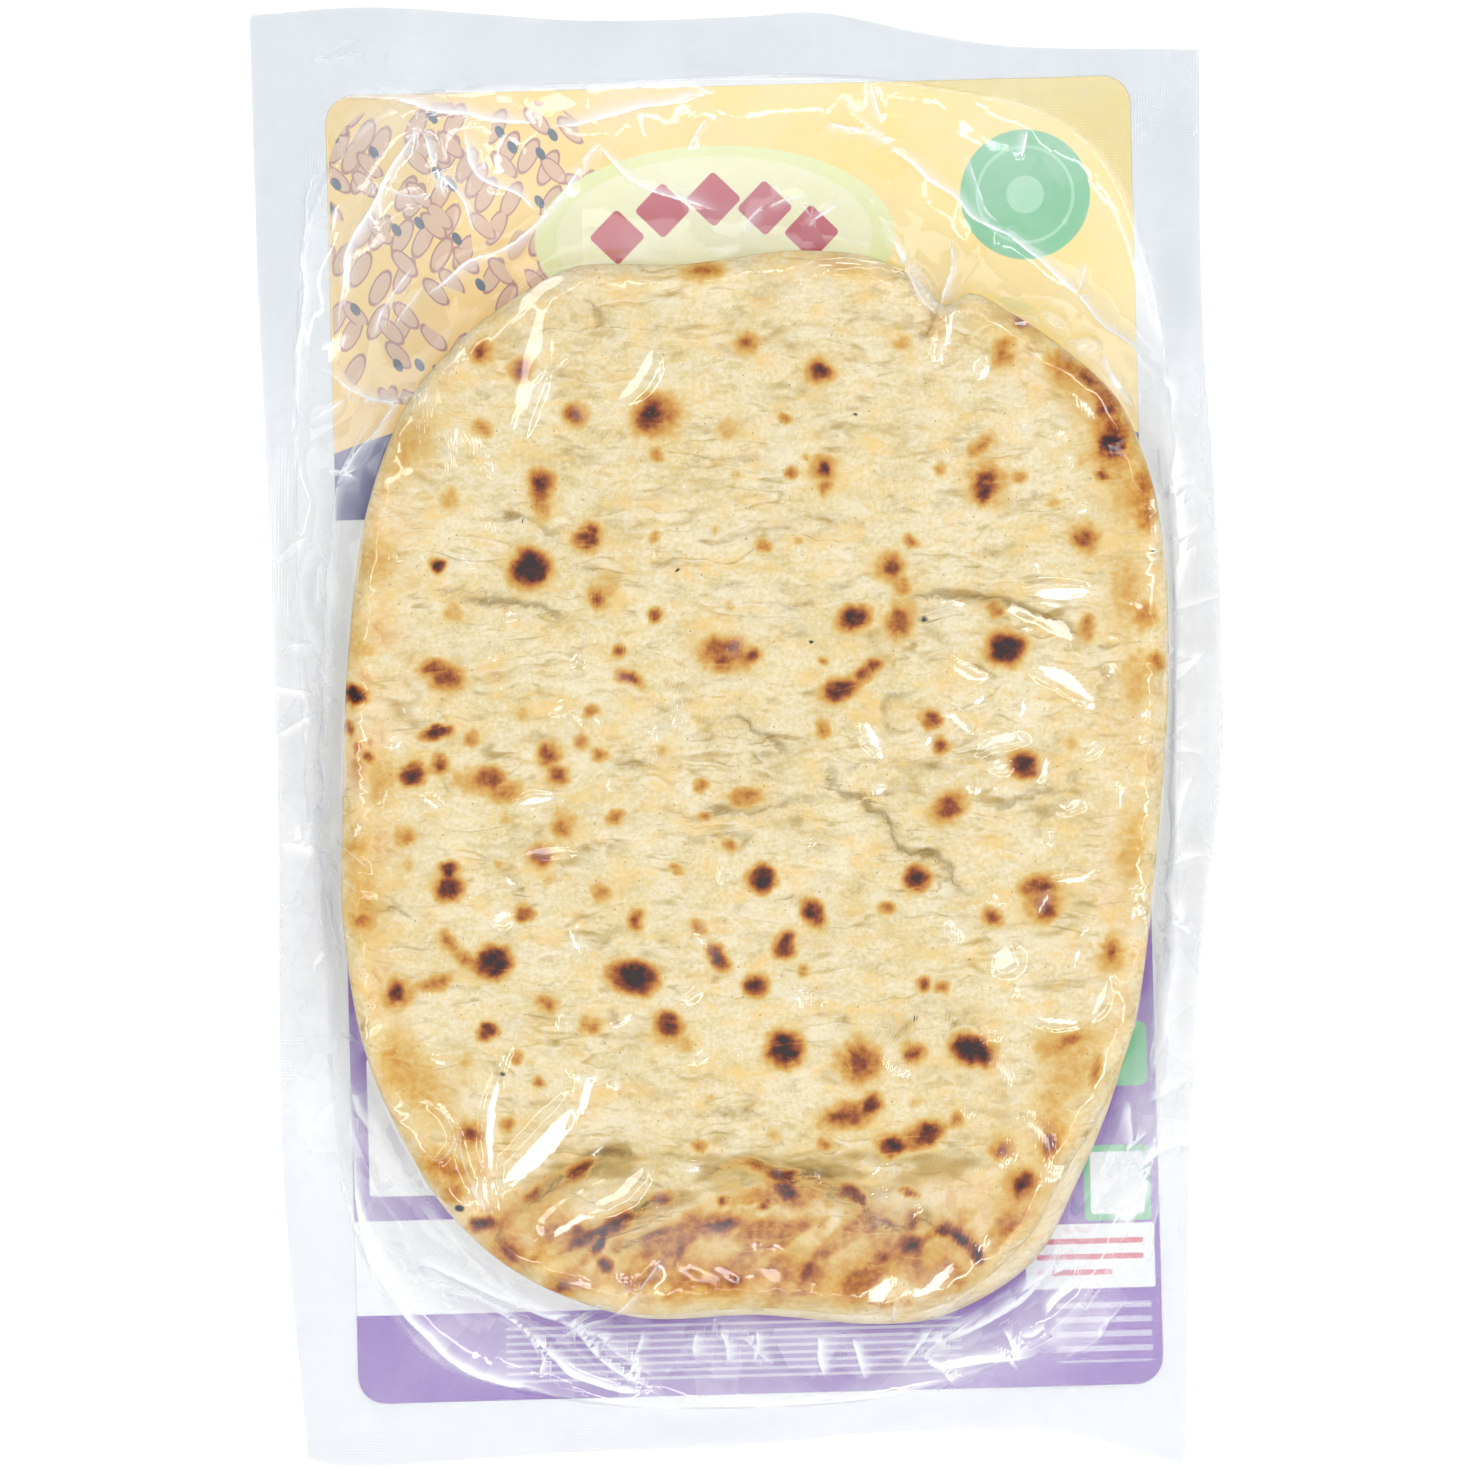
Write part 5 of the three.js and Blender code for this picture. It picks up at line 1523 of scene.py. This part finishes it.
            height[near] = height[near] * (1 - share) + share * (rise + best[0] * dx + best[1] * dy)
            window[near] = np.maximum(window[near], share)
        return height, window

    def build(self, waffle: Effect, fold_line: Effect) -> bpy.types.Object:
        """Makes the film as one sheet: a grid inside the cavity's edge and rings out to the pack's edge.

        The slope's milky veil grows with a power of the share of the way down, taken to the power of
        the film's length over a step in plan, and is thicker on a narrow slope, painting light over its
        shade. On the bread only its foot, as a painted sheen, and the glints, as painted highlights, are
        milky, and the border is by patches of painted sheen and, beside a narrow slope, by painted light.

        Args:
            waffle: the sealed border's emboss.
            fold_line: the fold line effect.
        """
        form = self.form
        share, bearing = self.grid.places()
        distance = form.cavity.reach(bearing) * share
        edge = self.grid.edge()
        way_out = eased(np.arange(1, self.border_rings + 1) / self.border_rings)[:, None]
        inner, outer = form.cavity.reach(bearing[edge]), form.pack.reach(bearing[edge])
        distance = np.concatenate([distance, (inner + (outer - inner) * way_out).ravel()])
        bearing = np.concatenate([bearing, np.tile(bearing[edge], self.border_rings)])
        x, y = form.plan(distance, bearing)
        inside = np.arange(len(x)) < len(share)
        z = self.seal_height + form.border_wave(x, y)
        z[inside] = self.base(x[inside], y[inside])
        noise = form.film_noise
        wx, wy = x + 0.9 * noise.at(x, y, 8.0), y + 0.9 * noise.at(x + 80, y, 8.0)
        crests = lay_folds(CRESTS + self.stray_crests(), wx, wy, 0.35)
        off = distance - form.stack.reach(bearing)
        to_edge = np.where(inside, eased((form.cavity.reach(bearing) - distance) / 3.0 + 0.25), 0.4)
        z += crests.press * to_edge
        z[inside], window = self.lay_glints(x[inside], y[inside], z[inside])
        window = np.concatenate([window, np.zeros(np.count_nonzero(~inside))])
        sealed = np.where(inside, 0.0, 1.0)
        sealed[edge] = 1.0
        wide = np.maximum(form.cavity.reach(bearing) - form.stack.reach(bearing), 1.0)
        down = np.clip(off / wide, 0, 1)
        steep = self.tent_sag * 0.85 * form.stack_top / wide * (1 - down) ** (self.tent_sag - 1)
        thick = np.hypot(1.0, steep)
        low, narrow = eased((-45 - y) / 45), eased((15 - wide) / 7)
        # The narrow part thickens the veil to paint light over the shade of a narrow slope.
        veil = 0.14 + 0.06 * low + (0.16 + 0.08 * low + 0.3 * narrow) * down**1.6
        veil = 1.0 - (1.0 - veil) ** np.minimum(thick, 4.0 - 3.0 * narrow)
        # Painted shade, darker towards the pack's upper end, on the border and at the left of the print.
        dusk = eased((y - 35) / 45) * np.where(inside, eased((-44 - x) / 16), 1.0)
        # Painted light: a thicker veil on the border beside a narrow slope, over the shade there.
        beside = narrow * np.exp(-np.maximum(distance - form.cavity.reach(bearing), 0) / 7.0)
        sheen = eased(0.4 + 1.2 * noise.at(x + 0.7 * y, y - 0.5 * x, 60.0, 14.0))
        by_rim = np.exp(-(((distance - form.upper_reach(bearing) + 1.5) / 4.5) ** 2))
        catching = eased((noise.at(x + 11, y + 7, 10.0) + 0.02) / 0.25)
        foot = eased((-76 - y) / 9) * (0.6 + 0.8 * noise.rough(x, y, 12.0, 8.0))
        marks = {
            "seal": sealed,
            # Film milkiness, with painted highlights on the glints, a painted sheen on the foot and the
            # border, and painted light by narrow slopes.
            "haze": np.where(inside, (veil + 0.15 * window) * eased((off + 1.0) / 3.0)
                             + (0.12 * foot + 0.1 * window) * (off < 0),
                             0.1 + 0.08 * sheen + 0.5 * beside),
            "tent": np.where(inside, eased(off / 3.0) * (1 - 0.6 * down**2), 0.05),
            "dull": 0.92 * by_rim * (1 - catching) * (1 - window),
            "flat": window,
            "dusk": dusk,
            "crest": crests.side,
            "crest_high": crests.share,
            "white": np.where(inside, 0.3 + 0.7 * eased(off / 4.0), 0.4),
        }
        faces = [self.grid.faces(), ring_faces(edge, len(share), self.border_rings)]
        return add_piece("clear_film", "clear_bag", np.stack([x, y, z], 1), faces, marks,
                         self.finish.make(waffle, fold_line))


def field_effect() -> Effect:
    """Makes the shape that the print is drawn with: a filled rectangle with round corners.

    With the corner's radius as large as the smaller half size it is an oval end, and a disc if both
    half sizes are the radius.
    """
    effect = Effect("print field", {
        "Place": "Vector", "Middle": "Vector", "Half": "Vector", "Radius": "Float",
    }, {"Mask": "Float"})
    nodes, into = effect.nodes, effect.into
    vector = nodes.vector
    away = vector("SUBTRACT", into["Place"], into["Middle"])
    flat = vector("MULTIPLY", vector("ABSOLUTE", away.outputs[0]).outputs[0], (1, 1, 0))
    corner = nodes.add("CombineXYZ", {0: into["Radius"], 1: into["Radius"]})
    inner = vector("SUBTRACT", into["Half"], corner.outputs[0])
    beyond = vector("MAXIMUM", vector("SUBTRACT", flat.outputs[0], inner.outputs[0]).outputs[0])
    far = vector("LENGTH", vector("MULTIPLY", beyond.outputs[0], (1, 1, 0)).outputs[0]).outputs["Value"]
    effect.give("Mask", nodes.spread(nodes.math("SUBTRACT", into["Radius"], far), -0.12, 0.12))
    return effect


@dataclass(frozen=True)
class Patch:
    """A patch of one ink: its middle, half sizes, corner radius and turn, in the print's own frame."""

    ink: Ink
    x: float
    y: float
    half_x: float
    half_y: float
    radius: float
    turn: float = 0.0
    wide: float = 1.0


LIME, STRAW, CRIMSON = (232, 238, 172), (242, 242, 198), (190, 44, 66)
GREEN, PALE_GREEN, ROSE = (112, 192, 140), (158, 216, 178), (214, 110, 126)
PAPER, TAN = (240, 242, 245), (224, 184, 150)


@dataclass(frozen=True)
class PrintFinish:
    """The back film's finish: fields of ink on clear film, with a clear window in the middle."""

    name: str = "printed_film"
    centre: Point = (1.4, -0.6)
    turn: float = 1.5
    half: Point = (72.4, 117.7)
    corner: float = 5.0
    arch_top: float = 66.0
    arch_fall: float = 0.0024
    window_top: float = 41.4
    window_foot: float = -17.0
    gold: Ink = (253, 214, 130)
    lemon: Ink = (252, 223, 132)
    navy: Ink = (74, 66, 132)
    purple: Ink = (138, 98, 180)
    slate: Ink = (58, 78, 98)
    chaff: Ink = (180, 124, 112)
    tint: Ink = (246, 247, 248)
    patches: tuple[Patch, ...] = (
        Patch(LIME, -3.0, 90.5, 16.6, 16.6, 16.6, 0.1, 1.95),
        Patch(STRAW, -3.0, 90.5, 14.6, 14.6, 14.6, 0.1, 1.95),
        *(Patch(CRIMSON, x, y, 3.6, 3.6, 0.8, 45.0)
          for x, y in ((-20.5, 91.0), (-12.2, 95.6), (-3.0, 97.4), (6.2, 95.6), (14.5, 91.0))),
        *(Patch(ink, 53.1, 96.8, radius, radius, radius)
          for ink, radius in ((GREEN, 11.7), (PALE_GREEN, 8.9), (GREEN, 8.3), (PALE_GREEN, 3.4))),
        Patch(PAPER, -61.5, -68.1, 8.0, 12.4, 0.6),
        Patch(PAPER, -41.0, -93.4, 33.0, 8.5, 0.6),
        Patch(GREEN, 66.4, -58.2, 4.6, 5.8, 1.6),
        Patch(GREEN, 65.0, -81.4, 6.0, 6.8, 1.0),
        Patch(PAPER, 65.0, -81.4, 4.8, 5.6, 0.6),
        Patch(PAPER, 59.8, -94.5, 11.6, 5.8, 0.5),
        *(Patch(ROSE, x, y, half, 0.5, 0.4)
          for x, y, half in ((59.8, -91.8, 9.6), (59.8, -94.6, 9.6), (57.0, -97.4, 6.8))),
    )

    def make(self, shape: Effect, waffle: Effect) -> bpy.types.Material:
        """Builds the material.

        Args:
            shape: the print field.
            waffle: the sealed border's emboss.
        """
        material, nodes = new_material(self.name)
        spot = nodes.place()

        def turned(x: float, y: float, turn: float, unit: Point, place: Socket) -> Socket:
            """Returns a place measured from x, y along axes turned by degrees, in a unit for each."""
            return nodes.add("Mapping", {
                "Vector": place, "Location": (x, y, 0.0), "Rotation": (0.0, 0.0, math.radians(turn)),
                "Scale": (*unit, 1.0),
            }, vector_type="TEXTURE").outputs[0]

        own = turned(self.centre[0] * MM, self.centre[1] * MM, self.turn, (MM, MM), spot)

        def mask(patch: Patch) -> Socket:
            """Returns one patch's mask."""
            place, middle = own, (patch.x, patch.y, 0.0)
            if patch.turn:
                place, middle = turned(patch.x, patch.y, patch.turn, (patch.wide, 1.0), own), (0.0, 0.0, 0.0)
            sizes = {"Half": (patch.half_x, patch.half_y, 1.0), "Radius": patch.radius}
            return shape.put(nodes, {"Place": place, "Middle": middle, **sizes})["Mask"]

        parts = nodes.add("SeparateXYZ", {0: own})
        across, up = parts.outputs[0], parts.outputs[1]
        arch = nodes.times(nodes.times(across, across), self.arch_fall)
        above_arch = nodes.spread(nodes.math("ADD", up, arch), self.arch_top - 0.15, self.arch_top + 0.15)
        above_window = nodes.spread(up, self.window_top - 0.12, self.window_top + 0.12)
        below_window = nodes.spread(up, self.window_foot - 0.12, self.window_foot + 0.12, 1.0, 0.0)
        sunny = nodes.mix(nodes.spread(across, -60.0, 25.0), self.gold, self.lemon)
        ink = nodes.mix(above_window, self.purple, self.navy)
        ink = nodes.mix(above_arch, ink, sunny)
        corner = nodes.times(mask(Patch(TAN, -48.0, 89.0, 24.0, 27.0, 12.0)), above_arch)
        ink = self.grains(nodes, own, ink, corner)
        for patch in self.patches:
            ink = nodes.mix(mask(patch), ink, patch.ink)
        ink = self.rules(nodes, up, ink, mask(Patch(PAPER, -4.7, -110.0, 41.0, 5.4, 0.3)), 1.35)
        ink = self.rules(nodes, up, ink, mask(Patch(PAPER, 62.0, -108.0, 8.6, 5.6, 0.3)), 2.6)
        card = mask(Patch(PAPER, 0.0, 0.0, self.half[0], self.half[1], self.corner))
        inked = nodes.times(card, nodes.math("ADD", above_window, below_window, clamp=True))
        emboss = waffle.put(nodes, {"Place": spot, "Pitch": 1.05 * MM})["Height"]
        normal = nodes.bump(nodes.total((nodes.times(emboss, nodes.mark("seal")), 0.03)))
        coat = nodes.add("BsdfPrincipled", {"Base Color": ink, "Roughness": 0.3, "Normal": normal})
        clear = nodes.add("BsdfTransparent", {"Color": srgb(*self.tint)})
        shine = nodes.add("BsdfGlossy", {"Color": WHITE, "Roughness": 0.15, "Normal": normal})
        glance = nodes.add("Fresnel", {"IOR": 1.5})
        seen = nodes.spread(nodes.add("LightPath").outputs["Is Camera Ray"], 0.0, 1.0, 0.3, 1.0)
        strength = nodes.times(glance.outputs[0], seen)
        bare = nodes.add("MixShader", {0: strength, 1: clear.outputs[0], 2: shine.outputs[0]})
        surface = nodes.add("MixShader", {0: inked, 1: bare.outputs[0], 2: coat.outputs[0]})
        nodes.output(surface)
        return material

    def grains(self, nodes: Nodes, own: Socket, ink: Socket, corner: Socket) -> Socket:
        """Returns the ink with scattered tan grains and slate seeds in the top left corner.

        Each kind is the cells of a Voronoi pattern, stretched one way and cut at a distance from
        the cells' middles.

        Args:
            nodes: the material's nodes.
            own: the print's own coordinates.
            ink: the ink below.
            corner: the corner's mask.
        """
        for colour, size, long, turn, cut, chance in (
            (self.chaff, 3.6, 2.3, 62.0, 0.46, 0.34), (TAN, 3.6, 2.3, 62.0, 0.38, 0.34),
            (self.chaff, 3.4, 2.3, -48.0, 0.44, 0.48), (TAN, 3.4, 2.3, -48.0, 0.36, 0.48),
            (self.slate, 4.2, 1.7, -60.0, 0.2, 0.6),
        ):
            laid = nodes.stretch(own, 1.0 / (size * long), 1.0 / size, turn)
            cells = nodes.add("TexVoronoi", {"Vector": laid, "Scale": 1.0, "Randomness": 0.8}, feature="F1",
                              voronoi_dimensions="2D")
            inside = nodes.spread(cells.outputs["Distance"], cut - 0.04, cut, 1.0, 0.0)
            kept = nodes.spread(cells.outputs["Color"], chance, chance + 0.02)
            grain = nodes.times(nodes.times(inside, kept), corner)
            ink = nodes.mix(grain, ink, colour)
        return ink

    def rules(self, nodes: Nodes, up: Socket, ink: Socket, block: Socket, pitch: float) -> Socket:
        """Returns the ink with a block of thin pale rules: a wave along the height, cut high.

        Args:
            nodes: the material's nodes.
            up: the height on the print.
            ink: the ink below.
            block: the block's mask.
            pitch: the distance from rule to rule.
        """
        wave = nodes.math("SINE", nodes.times(up, 2 * math.pi / pitch))
        rule = nodes.times(nodes.spread(wave, 0.1, 0.5, 0.0, 0.5), block)
        return nodes.mix(rule, ink, PAPER)


@dataclass
class PrintedFilm:
    """The back film: a flat sheet to the pack's edge that follows the border's wave."""

    form: PackForm
    grid: DiscGrid
    height: float = 0.12
    finish: PrintFinish = field(default_factory=PrintFinish)

    def build(self, shape: Effect, waffle: Effect) -> bpy.types.Object:
        """Makes the sheet: each point's height is the border's wave over a low base.

        Args:
            shape: the print field.
            waffle: the sealed border's emboss.
        """
        form = self.form
        share, bearing = self.grid.places()
        distance = form.pack.reach(bearing) * share
        x, y = form.plan(distance, bearing)
        points = np.stack([x, y, self.height + form.border_wave(x, y)], 1)
        sealed = eased((distance - form.cavity.reach(bearing)) / 1.0 + 1.0)
        return add_piece("printed_back_film", "printed_film", points, [self.grid.faces()],
                         {"seal": sealed}, self.finish.make(shape, waffle))


# ---- The studio ----------------------------------------------------------------------------


@dataclass
class Studio:
    """A pale floor, soft light and a camera straight above the pack."""

    lights: Softboxes
    frame_width: float = 265.3
    middle: Point = (0.1, -0.1)
    lens: float = 200.0
    sensor: float = 36.0
    sky: float = 0.26
    overhead: float = 1.22

    @property
    def eye(self) -> tuple[float, float, float]:
        """The camera's place in millimetres: as high as makes frame_width fill the picture at the table."""
        return (*self.middle, self.frame_width * self.lens / self.sensor)

    def camera(self) -> None:
        """Places the camera, looking straight down."""
        data = bpy.data.cameras.new("camera")
        data.lens, data.sensor_width = self.lens, self.sensor
        camera = bpy.data.objects.new("camera", data)
        camera.location = tuple(value * MM for value in self.eye)
        bpy.context.scene.collection.objects.link(camera)
        bpy.context.scene.camera = camera

    def floor(self) -> None:
        """Lays the pale floor."""
        half = 1.5
        mesh = bpy.data.meshes.new("floor")
        corners = [(-half, -half, 0), (half, -half, 0), (half, half, 0), (-half, half, 0)]
        mesh.from_pydata(corners, [], [(0, 1, 2, 3)])
        material, nodes = new_material("floor_card")
        shader = nodes.add("BsdfDiffuse", {"Color": (0.93, 0.93, 0.93, 1.0)})
        nodes.output(shader)
        mesh.materials.append(material)
        floor = bpy.data.objects.new("floor", mesh)
        bpy.context.scene.collection.objects.link(floor)

    def softbox(self, bearing: float, power: float) -> None:
        """Adds one strip light that faces the pack.

        Args:
            bearing: where it stands, in degrees round from +x.
            power: its power in watts.
        """
        name = f"softbox_{bearing % 360:.0f}"
        data = bpy.data.lights.new(name, "AREA")
        data.shape, data.size, data.size_y, data.energy = "RECTANGLE", *self.lights.size, power
        lamp = bpy.data.objects.new(name, data)
        lamp.location = tuple(self.lights.middle(bearing))
        lamp.rotation_euler = (math.radians(90 - self.lights.rise), 0.0, math.radians(bearing + 90))
        bpy.context.scene.collection.objects.link(lamp)

    def ceiling(self) -> None:
        """Adds soft light from straight above, which leaves no mirror image in the film."""
        data = bpy.data.lights.new("ceiling", "SUN")
        data.energy, data.angle = self.overhead, math.radians(40)
        lamp = bpy.data.objects.new("ceiling", data)
        lamp.visible_glossy = False
        bpy.context.scene.collection.objects.link(lamp)

    def build(self) -> None:
        """Sets the camera, the floor, the sky and the lights."""
        self.camera()
        self.floor()
        world = bpy.data.worlds.new("sky")
        world.use_nodes = True
        sky = world.node_tree.nodes["Background"]
        sky.inputs["Color"].default_value = WHITE
        sky.inputs["Strength"].default_value = self.sky
        bpy.context.scene.world = world
        bpy.context.scene.view_settings.view_transform = "Standard"
        for bearing, power in zip(self.lights.bearings, self.lights.powers):
            self.softbox(bearing, power)
        self.ceiling()


def main() -> None:
    """Builds the pack's pieces in order and reports each one."""
    logging.basicConfig(level=logging.INFO, format="%(name)s: %(message)s")
    form, lights = PackForm(), Softboxes()
    studio = Studio(lights)
    crumb, fold_line, waffle, shape = crumb_effect(), fold_line_effect(), waffle_effect(), field_effect()
    golden = BreadFinish("naan_crust")
    # The lower crust is a paler copy of the crust: painted light over the shade under the upper bread.
    lower_brightened = BreadFinish("lower_crust", rim=(244, 222, 168), pale=(250, 240, 214), cream=(240, 222, 180),
                        crease=(208, 182, 130))
    makers = (
        lambda: PrintedFilm(form, DiscGrid(120, 180)).build(shape, waffle),
        lambda: Naan("naan_lower", form, False, DiscGrid(110, 140), 56, 71, lower_brightened).build(crumb, fold_line),
        lambda: Naan("naan_upper", form, True, DiscGrid(204, 420), 8, 53, golden).build(crumb, fold_line),
        lambda: ClearFilm(form, DiscGrid(244, 368), lights, studio.eye).build(waffle, fold_line),
    )
    for make in makers:
        piece = make()
        log.info("%s: %d faces", piece.name, len(piece.data.polygons))
    studio.build()


if __name__ == "__main__":
    main()
